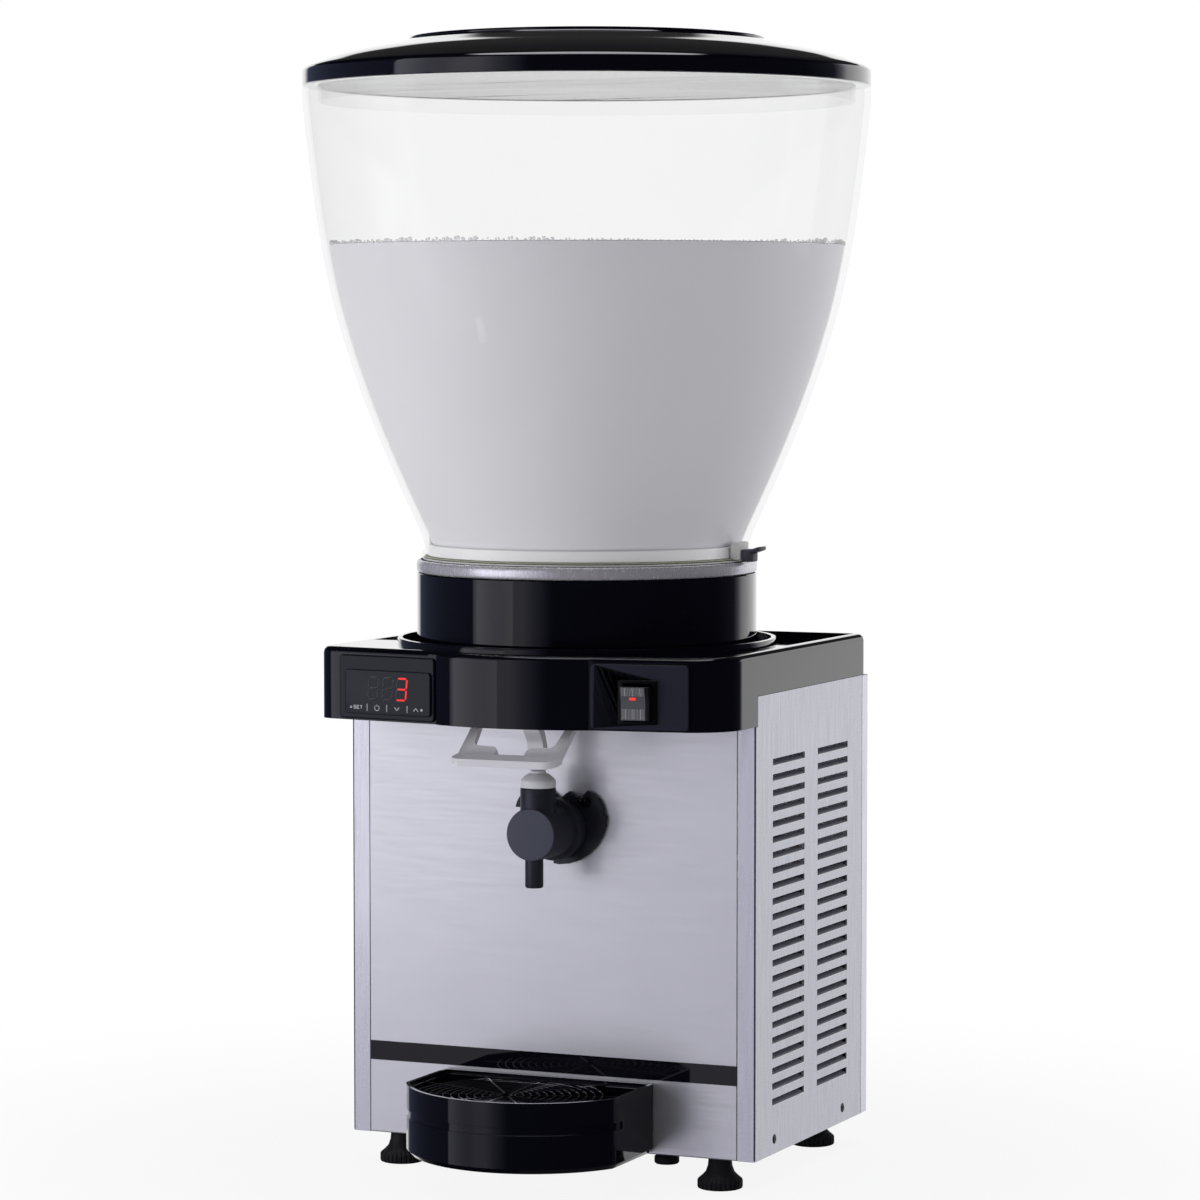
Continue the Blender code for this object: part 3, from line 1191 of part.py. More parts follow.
def make_drip_tray():
    """Black D shaped tray: chamfered skirt, floor, ledge for the grille, front band and finger grip."""
    tray = prism("drip_tray", tray_outline(0.0), TRAY_BOTTOM, TRAY_TOP)
    rounded = bmesh.new()
    rounded.from_mesh(tray.data)
    bpy.data.objects.remove(tray)
    rim = [edge for edge in rounded.edges if all(v.co.z < TRAY_BOTTOM + TOUCH for v in edge.verts)
           and not all(v.co.y > TRAY_BACK - TOUCH for v in edge.verts)]
    bmesh.ops.bevel(rounded, geom=rim, offset=TRAY_CHAMFER, segments=1, profile=0.5, affect="EDGES")
    tray = place_mesh("drip_tray", rounded)
    shelf = TRAY_WALL + TRAY_LEDGE
    cut(tray, prism("upper_room", tray_outline(TRAY_WALL), GRILLE_LOW - TOUCH, TRAY_TOP + OVERRUN))
    cut(tray, prism("room", tray_outline(shelf), TRAY_FLOOR_HIGH, GRILLE_LOW))
    under = TRAY_WALL + TRAY_CHAMFER
    cut(tray, prism("under", tray_outline(under, -OVERRUN), TRAY_BOTTOM - OVERRUN, TRAY_FLOOR_LOW))
    band = prism("band", tray_outline(-OVERRUN), TRAY_BAND_LOW, TRAY_BAND_HIGH)
    low = TRAY_BAND_LOW - OVERRUN
    high = TRAY_BAND_HIGH + OVERRUN
    cut(band, prism("kept", tray_outline(TRAY_BAND_DEPTH), low, high))
    cut(band, box("kept", (TRAY_X - TRAY_HALF * 2, TRAY_ARC_Y - TRAY_ARC_RADIUS / 3, low),
                  (TRAY_X + TRAY_HALF * 2, TRAY_BACK + OVERRUN, high)))
    cut(tray, band)
    grip_y = TRAY_ARC_Y - math.sqrt(TRAY_ARC_RADIUS ** 2 - TRAY_HALF ** 2)
    grip_z = TRAY_BAND_LOW
    grip_out = TRAY_X - TRAY_HALF - TRAY_GRIP_RADIUS + TRAY_WALL
    cut(tray, rod("grip", (grip_out, grip_y, TRAY_BOTTOM - OVERRUN), (grip_out, grip_y, grip_z),
                  TRAY_GRIP_RADIUS))
    return tray


def make_grille():
    """Flat grille of rings and spokes round a hub, with a solid border."""
    plate = prism("drip_grille", tray_outline(TRAY_WALL + TOUCH), GRILLE_LOW, GRILLE_TOP)
    gaps = []
    step = math.tau / GRILLE_SPOKES
    for ring in range(GRILLE_RINGS):
        inner = GRILLE_HUB_RADIUS + GRILLE_RING_PITCH * ring + GRILLE_RING_BAR
        outer = GRILLE_HUB_RADIUS + GRILLE_RING_PITCH * (ring + 1)
        for spoke in range(GRILLE_SPOKES):
            start = step * spoke
            low_in = start + math.asin(GRILLE_SPOKE_HALF / inner)
            high_in = start + step - math.asin(GRILLE_SPOKE_HALF / inner)
            low_out = start + math.asin(GRILLE_SPOKE_HALF / outer)
            high_out = start + step - math.asin(GRILLE_SPOKE_HALF / outer)
            centre = (TRAY_X, GRILLE_HUB_Y)
            outline = arc(centre, inner, low_in, high_in, 1) + arc(centre, outer, high_out, low_out, 2)
            gaps.append(prism("gap", outline, GRILLE_LOW - OVERRUN, GRILLE_TOP + OVERRUN))
    cutter = group("gaps", gaps)
    inside = prism("inside", tray_outline(TRAY_WALL + TOUCH + GRILLE_BORDER), GRILLE_LOW - 2 * OVERRUN,
                   GRILLE_TOP + 2 * OVERRUN)
    combine(cutter, inside, "INTERSECT")
    return cut(plate, cutter)


def make_tray_shelf():
    """Stainless shelf on the front panel that the tray slides on."""
    back = FRONT - TOUCH
    low = SHELF_TOP - SHELF_SHEET
    outline = [(back, low), (back, SHELF_FLANGE_TOP), (back - SHELF_SHEET, SHELF_FLANGE_TOP),
               (back - SHELF_SHEET, SHELF_TOP), (SHELF_FRONT, SHELF_TOP), (SHELF_FRONT, low)]
    return prism("tray_shelf", outline, TRAY_X - SHELF_HALF, TRAY_X + SHELF_HALF, "X")


def make_thermostat():
    """Thermostat: flat face in front of the left block, with its box behind."""
    frame = block_frame(THERMOSTAT_X, THERMOSTAT_Z)
    unit = block_box("thermostat", frame, THERMOSTAT_WIDTH, THERMOSTAT_HEIGHT, -THERMOSTAT_PROUD - TOUCH,
                     -TOUCH)
    body = block_box("body", frame, THERMOSTAT_BODY_WIDTH, THERMOSTAT_BODY_HEIGHT, -TOUCH * 2,
                     THERMOSTAT_BODY_DEPTH)
    return fuse(unit, body)


def make_switch():
    """Rocker switch: housing with its bezel, and the rocker on its own pin."""
    frame = block_frame(SWITCH_X, SWITCH_Z)
    housing = block_box("switch_housing", frame, SWITCH_WIDTH, SWITCH_HEIGHT, -SWITCH_PROUD - TOUCH, -TOUCH)
    fuse(housing, block_box("body", frame, SWITCH_BODY_WIDTH, SWITCH_BODY_HEIGHT, -TOUCH * 2,
                            SWITCH_BODY_DEPTH))
    room_width = SWITCH_BODY_WIDTH - 2 * SWITCH_WALL
    room_height = SWITCH_BODY_HEIGHT - 2 * SWITCH_WALL
    cut(housing, block_box("room", frame, room_width, room_height, -SWITCH_PROUD - OVERRUN,
                           SWITCH_BODY_DEPTH - SWITCH_WALL))
    half_width = room_width / 2 - TOUCH
    half_height = room_height / 2 - ROCKER_END_GAP
    tip = half_height - ROCKER_END_GAP
    near = ROCKER_PIVOT_DEPTH
    outline = [(-ROCKER_PROUD, tip), (-ROCKER_PROUD + ROCKER_DIP, 0.0), (-ROCKER_PROUD, -tip),
               (near - ROCKER_PIN_RADIUS, -half_height), (near + ROCKER_PIVOT_DEPTH, 0.0),
               (near - ROCKER_PIN_RADIUS, half_height)]
    rocker = prism("switch_rocker", outline, -half_width, half_width, "X")
    pin = rod("pin", (-half_width - SWITCH_WALL / 2, near, 0.0), (half_width + SWITCH_WALL / 2, near, 0.0),
              ROCKER_PIN_RADIUS)
    fuse(rocker, pin)
    socket = rod("socket", (-SWITCH_BODY_WIDTH, near, 0.0), (SWITCH_BODY_WIDTH, near, 0.0),
                 ROCKER_PIN_RADIUS + RUNNING_FIT)
    cut(housing, turn_mesh(socket, frame))
    pivot = Matrix.Translation((0.0, near, 0.0))
    turn_mesh(rocker, frame @ pivot @ Matrix.Rotation(-ROCKER_TILT, 4, "X") @ pivot.inverted())
    return housing, rocker, frame


def make_motor():
    """Stirring motor hung under the deck."""
    top = CABINET_TOP - BASE_SHEET - TOUCH
    low = top - MOTOR_LENGTH
    profile = [(0.0, top), (MOTOR_FLANGE_RADIUS, top), (MOTOR_FLANGE_RADIUS, top - MOTOR_FLANGE),
               (MOTOR_RADIUS, top - MOTOR_FLANGE), (MOTOR_RADIUS, low + MOTOR_FLANGE),
               (MOTOR_RADIUS - MOTOR_FLANGE, low), (0.0, low)]
    motor = turned("stirrer_motor", profile, ROUND_MEDIUM)
    return cut(motor, rod("socket", (0.0, 0.0, top - MOTOR_SOCKET_DEPTH), (0.0, 0.0, top + OVERRUN),
                          DRIVE_SHAFT_RADIUS + RUNNING_FIT))


def make_drive_magnet():
    """Magnet disc and its shaft, turned by the motor under the dish."""
    low = CABINET_TOP - BASE_SHEET - TOUCH - MOTOR_SOCKET_DEPTH + TOUCH
    shaft = DRIVE_SHAFT_RADIUS
    profile = [(0.0, MAGNET_HIGH), (MAGNET_RADIUS, MAGNET_HIGH), (MAGNET_RADIUS, MAGNET_LOW),
               (shaft * 2, MAGNET_LOW), (shaft * 2, MAGNET_LOW - shaft), (shaft, MAGNET_LOW - shaft),
               (shaft, low), (0.0, low)]
    return turned("drive_magnet", profile, ROUND_SMALL)


def make_impeller():
    """Stirring wheel that turns on a pin in the dish."""
    hub = [(IMPELLER_HUB_RADIUS - IMPELLER_DISC, IMPELLER_HUB_TOP), (IMPELLER_HUB_RADIUS, IMPELLER_VANE_TOP),
           (IMPELLER_HUB_RADIUS, IMPELLER_LOW), (0.0, IMPELLER_LOW), (0.0, IMPELLER_HUB_TOP)]
    wheel = turned("impeller", [hub[4], *hub[:4]], ROUND_SMALL)
    fuse(wheel, rod("disc", (0.0, 0.0, IMPELLER_LOW + TOUCH), (0.0, 0.0, IMPELLER_LOW + IMPELLER_DISC),
                    IMPELLER_VANE_REACH, ROUND_MEDIUM))
    for number in range(IMPELLER_VANES):
        vane = box("vane", (IMPELLER_HUB_RADIUS / 2, -IMPELLER_VANE_HALF, IMPELLER_LOW + IMPELLER_DISC / 2),
                   (IMPELLER_VANE_REACH - TOUCH, IMPELLER_VANE_HALF, IMPELLER_VANE_TOP))
        fuse(wheel, turn_mesh(vane, Matrix.Rotation(math.tau * number / IMPELLER_VANES, 4, "Z")))
    top = IMPELLER_PIN_TOP + TOUCH
    return cut(wheel, rod("bore", (0.0, 0.0, IMPELLER_LOW - OVERRUN), (0.0, 0.0, top),
                          IMPELLER_PIN_RADIUS + RUNNING_FIT))


def make_impeller_pin():
    """Steel pin that is welded to the dish's floor."""
    low = DISH_FLOOR - DISH_SHEET / 2
    high = IMPELLER_LOW - TOUCH
    profile = [(0.0, IMPELLER_PIN_TOP), (IMPELLER_PIN_RADIUS, IMPELLER_PIN_TOP), (IMPELLER_PIN_RADIUS, high),
               (IMPELLER_PIN_BASE, high), (IMPELLER_PIN_BASE, low), (0.0, low)]
    return turned("impeller_pin", profile, ROUND_SMALL)


def make_compressor():
    """Hermetic compressor: domed shell with its relay box, on a square mounting plate."""
    centre = (COMPRESSOR_X, COMPRESSOR_Y, 0.0)
    dome = arc((0.0, COMPRESSOR_HIGH - COMPRESSOR_DOME), 1.0, math.pi / 2, 0.0, 5)
    profile = [(COMPRESSOR_RADIUS * x, COMPRESSOR_HIGH - COMPRESSOR_DOME + COMPRESSOR_DOME *
                (z - COMPRESSOR_HIGH + COMPRESSOR_DOME)) for x, z in dome]
    profile[0] = (0.0, COMPRESSOR_HIGH)
    profile += [(COMPRESSOR_RADIUS, COMPRESSOR_LOW + COMPRESSOR_DOME),
                (COMPRESSOR_RADIUS - COMPRESSOR_DOME / 2, COMPRESSOR_LOW), (0.0, COMPRESSOR_LOW)]
    shell = turned("compressor", profile, ROUND_MEDIUM, centre)
    half = COMPRESSOR_PLATE_HALF
    low = COMPRESSOR_LOW - COMPRESSOR_PLATE / 2
    plate = box("plate", (COMPRESSOR_X - half, COMPRESSOR_Y - half, low),
                (COMPRESSOR_X + half, COMPRESSOR_Y + half, low + COMPRESSOR_PLATE))
    back = COMPRESSOR_Y - COMPRESSOR_RADIUS * RELAY_SUNK_SHARE
    relay = box("relay", (COMPRESSOR_X - RELAY_HALF, back - RELAY_DEPTH, RELAY_LOW),
                (COMPRESSOR_X + RELAY_HALF, back, RELAY_HIGH))
    return fuse(shell, plate, relay)


def grommet_places():
    """Returns the name and the centre of each of the compressor's mounts."""
    reach = COMPRESSOR_PLATE_HALF - GROMMET_INSET
    return [("compressor_mount_" + end + "_" + hand, COMPRESSOR_X + x * reach, COMPRESSOR_Y + y * reach)
            for end, y in (("front", -1), ("rear", 1)) for hand, x in (("left", -1), ("right", 1))]


def make_grommet(name, x, y):
    """Rubber mount between the compressor's plate and the base plate."""
    low = CABINET_BOTTOM + BASE_SHEET + TOUCH
    high = COMPRESSOR_LOW - COMPRESSOR_PLATE / 2 - TOUCH
    waist = GROMMET_RADIUS * GROMMET_WAIST_SHARE
    middle = (low + high) / 2
    profile = [(0.0, high), (GROMMET_RADIUS, high), (waist, middle), (GROMMET_RADIUS, low), (0.0, low)]
    return turned(name, profile, ROUND_MOUNT, (x, y, 0.0))


def make_condenser():
    """Condenser behind the right louvres: a comb of fins on a spine, with the tube's return bends."""
    pitch = (CONDENSER_REAR - CONDENSER_FRONT - CONDENSER_FIN) / (CONDENSER_FINS - 1)
    spine = CONDENSER_INNER + CONDENSER_SPINE
    outline = [(CONDENSER_INNER, CONDENSER_FRONT)]
    for number in range(CONDENSER_FINS):
        near = CONDENSER_FRONT + pitch * number
        far = near + CONDENSER_FIN
        outline += [(CONDENSER_OUTER, near), (CONDENSER_OUTER, far)]
        if number < CONDENSER_FINS - 1:
            outline += [(spine, far), (spine, near + pitch)]
    outline.append((CONDENSER_INNER, CONDENSER_REAR))
    block = prism("condenser", outline, CONDENSER_LOW, CONDENSER_HIGH)
    return fuse(block, make_condenser_bends())


def make_condenser_bends():
    """Return bends of the condenser's tube, in front of and behind the fins."""
    x = (CONDENSER_INNER + CONDENSER_OUTER) / 2
    span = (CONDENSER_HIGH - CONDENSER_LOW) / (2 * BENDS + 1)
    bends = []
    root = CONDENSER_FIN / 2
    for number in range(BENDS):
        middle = CONDENSER_LOW + span * (2 * number + 1) + span / 2
        for face, turn, shift in ((CONDENSER_FRONT, -1, 0.0), (CONDENSER_REAR, 1, -span)):
            points = [(x, face - turn * root, middle + shift - span / 2)]
            points += [(x, face + turn * (BEND_REACH - span / 2 + a), middle + shift + b)
                       for a, b in arc((0.0, 0.0), span / 2, -math.pi / 2, math.pi / 2, 6)]
            points.append((x, face - turn * root, middle + shift + span / 2))
            bends.append(tube("bend", points, BEND_RADIUS, 1))
    return group("condenser_bends", bends)


def make_shroud():
    """Steel plate with a round hole that guides the fan's air through the condenser."""
    low = CABINET_BOTTOM + BASE_SHEET + TOUCH
    plate = box("fan_shroud", (SHROUD_INNER, FAN_Y - SHROUD_HALF, low),
                (SHROUD_INNER + SHROUD_SHEET, FAN_Y + SHROUD_HALF, SHROUD_TOP))
    return cut(plate, rod("hole", (SHROUD_INNER - OVERRUN, FAN_Y, FAN_Z), (CONDENSER_OUTER, FAN_Y, FAN_Z),
                          SHROUD_HOLE, ROUND_MEDIUM))


def make_fan():
    """Fan wheel: hub on a short shaft and pitched blades."""
    hub = rod("fan_wheel", (FAN_X, 0.0, 0.0), (FAN_X + FAN_HUB_LENGTH, 0.0, 0.0), FAN_HUB_RADIUS)
    shaft_start = FAN_X - FAN_MOTOR_GAP - FAN_MOTOR_SOCKET + TOUCH
    fuse(hub, rod("shaft", (shaft_start, 0.0, 0.0), (FAN_X + TOUCH, 0.0, 0.0), FAN_SHAFT_RADIUS))
    middle = FAN_X + FAN_HUB_LENGTH / 2
    half = FAN_BLADE_CHORD / 2
    for number in range(FAN_BLADES):
        root = half * FAN_BLADE_ROOT_SHARE
        wide = half * FAN_BLADE_WIDE_SHARE
        sunk = FAN_HUB_RADIUS * FAN_BLADE_SUNK_SHARE
        wide_at = FAN_RADIUS * FAN_BLADE_WIDE_AT_SHARE
        outline = [(-root, sunk), (root, sunk), (wide, wide_at), (half, FAN_RADIUS),
                   (-half, FAN_RADIUS * FAN_BLADE_TRAIL_SHARE), (-wide, wide_at)]
        blade = prism("blade", outline, -FAN_BLADE_SHEET / 2, FAN_BLADE_SHEET / 2, "X")
        pitch = Matrix.Rotation(FAN_BLADE_PITCH, 4, "Z")
        spin = Matrix.Rotation(math.tau * number / FAN_BLADES, 4, "X")
        fuse(hub, turn_mesh(blade, Matrix.Translation((middle, 0.0, 0.0)) @ spin @ pitch))
    return turn_mesh(hub, Matrix.Translation((0.0, FAN_Y, FAN_Z)))


def make_fan_motor():
    """Fan motor with a socket for the wheel's shaft."""
    face = FAN_X - FAN_MOTOR_GAP
    motor = rod("fan_motor", (face - FAN_MOTOR_LENGTH, FAN_Y, FAN_Z), (face, FAN_Y, FAN_Z), FAN_MOTOR_RADIUS)
    return cut(motor, rod("socket", (face - FAN_MOTOR_SOCKET, FAN_Y, FAN_Z), (face + OVERRUN, FAN_Y, FAN_Z),
                          FAN_SHAFT_RADIUS + RUNNING_FIT))


def make_fan_stand():
    """Upright steel plate that holds the fan motor."""
    low = CABINET_BOTTOM + BASE_SHEET + TOUCH
    x = FAN_X - FAN_MOTOR_GAP - FAN_MOTOR_LENGTH / 2
    plate = box("fan_stand", (x - STAND_SHEET / 2, FAN_Y - STAND_HALF, low),
                (x + STAND_SHEET / 2, FAN_Y + STAND_HALF, FAN_Z + STAND_HALF))
    return cut(plate, rod("hole", (x - OVERRUN, FAN_Y, FAN_Z), (x + OVERRUN, FAN_Y, FAN_Z),
                          FAN_MOTOR_RADIUS + TOUCH))


def make_drier():
    """Copper filter drier, standing between two necks."""
    low = DRIER_LOW - DRIER_NECK_LENGTH
    high = DRIER_HIGH + DRIER_NECK_LENGTH
    shoulder = DRIER_RADIUS - DRIER_NECK
    profile = [(0.0, high), (DRIER_NECK, high), (DRIER_NECK, DRIER_HIGH),
               (DRIER_RADIUS, DRIER_HIGH - shoulder), (DRIER_RADIUS, DRIER_LOW + shoulder),
               (DRIER_NECK, DRIER_LOW), (DRIER_NECK, low), (0.0, low)]
    return turned("filter_drier", profile, ROUND_MOUNT, (DRIER_X, DRIER_Y, 0.0))


def pipe_routes():
    """Returns the name and the corners of each copper pipe of the cooling circuit."""
    gap = TOUCH
    deck = CABINET_TOP - BASE_SHEET - gap
    under_drier = DRIER_LOW - DRIER_NECK_LENGTH - gap
    over_drier = DRIER_HIGH + DRIER_NECK_LENGTH + gap
    fin_x = (CONDENSER_INNER + CONDENSER_OUTER) / 2
    rise = TUBE_RADIUS * 8
    top = COMPRESSOR_HIGH + gap
    lead = COMPRESSOR_RADIUS / 2
    out_x = COMPRESSOR_X + lead
    back_y = COMPRESSOR_Y - lead
    fin_y = CONDENSER_REAR - CONDENSER_FIN * 2
    discharge = [(out_x, COMPRESSOR_Y, top), (out_x, COMPRESSOR_Y, top + rise),
                 (FAN_X, COMPRESSOR_Y, CONDENSER_HIGH + rise), (fin_x, COMPRESSOR_Y, CONDENSER_HIGH + rise),
                 (fin_x, COMPRESSOR_Y, CONDENSER_HIGH + gap)]
    run_z = CONDENSER_LOW - rise / 2
    liquid = [(fin_x, fin_y, CONDENSER_LOW - gap), (fin_x, fin_y, run_z), (fin_x, DRIER_Y, run_z),
              (FAN_X, DRIER_Y, run_z), (DRIER_X + rise, DRIER_Y, run_z),
              (DRIER_X, DRIER_Y, under_drier - rise / 4), (DRIER_X, DRIER_Y, under_drier)]
    capillary = [(DRIER_X, DRIER_Y, over_drier), (DRIER_X, DRIER_Y, over_drier + rise),
                 (DRIER_X, DRIER_Y - rise, deck - rise), (DRIER_X, DRIER_Y - rise, deck)]
    suction = [(COMPRESSOR_X, back_y, top), (COMPRESSOR_X, back_y, top + rise),
               (COMPRESSOR_X + lead, back_y - rise, deck - rise), (COMPRESSOR_X + lead, back_y - rise, deck)]
    return [("discharge_pipe", discharge), ("liquid_pipe", liquid), ("capillary_pipe", capillary),
            ("suction_pipe", suction)]


def make_gland():
    """Cable gland in the rear panel, with its open bore."""
    inside = BACK - SHEET - GLAND_INSIDE
    skin = BACK + TOUCH
    flange = skin + GLAND_FLANGE
    nose = flange + GLAND_NOSE
    profile = [(GLAND_RADIUS, 0.0), (GLAND_RADIUS, skin - inside), (GLAND_FLANGE_RADIUS, skin - inside),
               (GLAND_FLANGE_RADIUS, flange - inside), (GLAND_NOSE_RADIUS, flange - inside),
               (GLAND_NOSE_RADIUS * GLAND_TIP_SHARE, nose - inside), (GLAND_BORE, nose - inside),
               (GLAND_BORE, 0.0)]
    return turned("cord_gland", profile, ROUND_SMALL, (GLAND_X, inside, GLAND_Z), (0.0, 1.0, 0.0))


def make_foot(name, x, y):
    """Screw foot: flared black base, neck and threaded stud."""
    neck_top = CABINET_BOTTOM - TOUCH
    flare = FOOT_BASE_HEIGHT
    run = FOOT_RADIUS - FOOT_NECK_RADIUS
    rise = neck_top - flare
    flare_shares = ((0.60, 0.14), (0.26, 0.32), (0.06, 0.60))
    profile = [(0.0, FOOT_STUD_TOP), (FOOT_STUD_RADIUS, FOOT_STUD_TOP), (FOOT_STUD_RADIUS, neck_top),
               (FOOT_NECK_RADIUS, neck_top)]
    profile += [(FOOT_NECK_RADIUS + run * a, flare + rise * b) for a, b in reversed(flare_shares)]
    profile += [(FOOT_RADIUS, flare - TOUCH), (FOOT_RADIUS, TOUCH * 3), (FOOT_RADIUS - TOUCH * 3, 0.0),
                (0.0, 0.0)]
    return turned(name, profile, ROUND_SMALL, (x, y, 0.0))


def make_plug():
    """Round black plug under the base plate."""
    top = CABINET_BOTTOM - TOUCH
    low = top - PLUG_HEIGHT
    stem = PLUG_NECK_RADIUS / 2
    end = CABINET_BOTTOM + BASE_SHEET * 2
    profile = [(0.0, end), (stem, end), (stem, top), (PLUG_NECK_RADIUS, top),
               (PLUG_NECK_RADIUS, low + PLUG_HEIGHT * PLUG_NECK_SHARE), (PLUG_RADIUS, low + PLUG_HEIGHT / 2),
               (PLUG_RADIUS, low + TOUCH * 3), (PLUG_RADIUS - TOUCH * 3, low), (0.0, low)]
    return turned("base_plug", profile, ROUND_SMALL, (SIDE - PLUG_SIDE_SETBACK, FRONT + PLUG_SETBACK, 0.0))


def build():
    """Makes every piece and hangs the moving ones on their joints."""
    steel = material("brushed steel", (0.56, 0.55, 0.60), 0.35, 0.9)
    galvanised = material("galvanised steel", (0.42, 0.43, 0.45), 0.5, 0.8)
    bright = material("polished steel", (0.66, 0.65, 0.68), 0.22, 1.0)
    black_gloss = material("gloss black", (0.006, 0.006, 0.009), 0.08)
    black_satin = material("satin black", (0.012, 0.012, 0.016), 0.35)
    tap_grey = material("tap grey", (0.030, 0.032, 0.045), 0.45)
    white = material("white plastic", (0.72, 0.72, 0.74), 0.4)
    clear = material("clear plastic", (0.9, 0.9, 0.9), 0.05, 0.0, 0.3)
    rubber = material("rubber", (0.01, 0.01, 0.011), 0.7)
    silicone = material("silicone", (0.62, 0.62, 0.58), 0.5)
    foam = material("foam", (0.70, 0.66, 0.50), 0.9)
    copper = material("copper", (0.60, 0.26, 0.14), 0.3, 1.0)
    latch_grey = material("latch grey", (0.10, 0.10, 0.13), 0.5)
    smoked = material("smoked rocker", (0.09, 0.09, 0.11), 0.25)

    for made, finish in (
            (make_base_plate(), galvanised), (make_front_panel(), steel),
            (make_side_panel("side_panel_left", -1), steel), (make_side_panel("side_panel_right", 1), steel),
            (make_rear_panel(), steel), (make_front_stripe(), black_gloss), (make_deck_plate(), galvanised),
            (make_hood(), black_gloss), (make_housing(), black_gloss), (make_dish(), bright),
            (make_coil(), copper), (make_insulation(), foam), (make_gasket(), silicone),
            (make_tap_body(), tap_grey), (make_nozzle(), tap_grey), (make_flange(), tap_grey),
            (make_flange_screw("flange_screw_left", -1), bright),
            (make_flange_screw("flange_screw_right", 1), bright), (make_tap_nut(), tap_grey),
            (make_tap_cap(), white),
            (make_spring(), bright), (make_lever_pin(), bright), (make_lever_bracket(), galvanised),
            (make_outlet_pipe(), bright), (make_tray_shelf(), bright), (make_motor(), galvanised),
            (make_compressor(), black_satin), (make_condenser(), galvanised),
            (make_shroud(), galvanised), (make_fan_motor(), black_satin), (make_fan_stand(), galvanised),
            (make_drier(), copper), (make_gland(), black_satin), (make_plug(), rubber),
            (make_thermostat(), black_satin)):
        tidy(made, finish)
    for name, x, y in grommet_places():
        tidy(make_grommet(name, x, y), rubber)
    for name, corners in pipe_routes():
        tidy(tube(name, smooth_route(corners, 4), TUBE_RADIUS, 1), copper)

    housing, rocker, rocker_frame = make_switch()
    tidy(housing, black_satin)
    tidy(rocker, smoked)
    carry("rocker_joint", rocker_frame @ Vector((0.0, ROCKER_PIVOT_DEPTH, 0.0)), [rocker])

    bowl = tidy(make_bowl(), clear)
    latch = tidy(make_latch(), latch_grey)
    lid = tidy(make_lid(), black_gloss)
    bowl_joint = carry("bowl_joint", (0.0, 0.0, bowl_foot_low()), [bowl])
    latch_x, latch_z = latch_edge()
    carry("latch_joint", (latch_x, 0.0, latch_z), [latch], parent=bowl_joint)
    carry("lid_joint", (0.0, 0.0, lid_profile()[0][1]), [lid], parent=bowl_joint)

    lever = tidy(make_lever(), white)
    carry("lever_joint", (TAP_X, LEVER_PIVOT_Y, LEVER_PIVOT_Z), [lever])
    piston = tidy(make_piston(), white)
    seal = tidy(make_piston_seal(), rubber)
    carry("piston_joint", (TAP_X, BARREL_Y, PISTON_TOP), [piston, seal])

    tray = tidy(make_drip_tray(), black_gloss)
    grille = tidy(make_grille(), black_gloss)
    tray_joint = carry("tray_joint", (TRAY_X, TRAY_ARC_Y, TRAY_BOTTOM), [tray])
    carry("grille_joint", (TRAY_X, TRAY_ARC_Y, GRILLE_LOW), [grille], parent=tray_joint)

    magnet = tidy(make_drive_magnet(), galvanised)
    impeller = tidy(make_impeller(), white)
    carry("magnet_joint", (0.0, 0.0, MAGNET_LOW), [magnet])
    carry("impeller_joint", (0.0, 0.0, IMPELLER_LOW), [impeller])
    fan = tidy(make_fan(), black_satin)
    carry("fan_joint", (FAN_X, FAN_Y, FAN_Z), [fan])

    names = ("foot_front_left", "foot_front_right", "foot_rear_left", "foot_rear_right")
    for name, (x, y) in zip(names, foot_places()):
        foot = tidy(make_foot(name, x, y), rubber)
        carry(name + "_joint", (x, y, CABINET_BOTTOM), [foot])


for leftover in list(bpy.data.objects):
    bpy.data.objects.remove(leftover)
build()
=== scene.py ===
"""Dresses the frame of a chilled yogurt drink dispenser.

Clear bowl, black lid and hood, steel cabinet, tap and tray.
"""

import json
import math

import bmesh
import bpy
from mathutils import Matrix, Vector


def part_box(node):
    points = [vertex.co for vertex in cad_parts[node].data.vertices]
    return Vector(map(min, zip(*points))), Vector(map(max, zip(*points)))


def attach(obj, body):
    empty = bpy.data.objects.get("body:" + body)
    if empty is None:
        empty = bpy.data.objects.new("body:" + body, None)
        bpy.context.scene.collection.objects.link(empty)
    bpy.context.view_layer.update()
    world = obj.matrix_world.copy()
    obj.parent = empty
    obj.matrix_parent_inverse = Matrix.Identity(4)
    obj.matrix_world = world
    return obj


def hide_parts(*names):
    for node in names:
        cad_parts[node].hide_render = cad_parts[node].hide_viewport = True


bl_info = {
    "name": "Drink Dispenser",
    "version": (1, 0, 0),
    "blender": (4, 5, 0),
    "location": "3D View > Sidebar > Dispenser",
    "description": "Models and finishes the visible pieces of a chilled drink dispenser",
    "category": "Object",
}

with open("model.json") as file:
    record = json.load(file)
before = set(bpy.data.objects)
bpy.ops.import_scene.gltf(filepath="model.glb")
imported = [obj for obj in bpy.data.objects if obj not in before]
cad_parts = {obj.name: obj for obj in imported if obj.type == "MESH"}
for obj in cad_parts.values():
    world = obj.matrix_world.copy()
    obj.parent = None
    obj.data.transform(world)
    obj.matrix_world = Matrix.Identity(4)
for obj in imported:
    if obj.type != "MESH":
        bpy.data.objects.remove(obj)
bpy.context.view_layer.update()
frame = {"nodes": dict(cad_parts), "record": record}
NODE_SLOTS = {part["node"]: part["material_slot"] for part in frame["record"]["subparts"]}

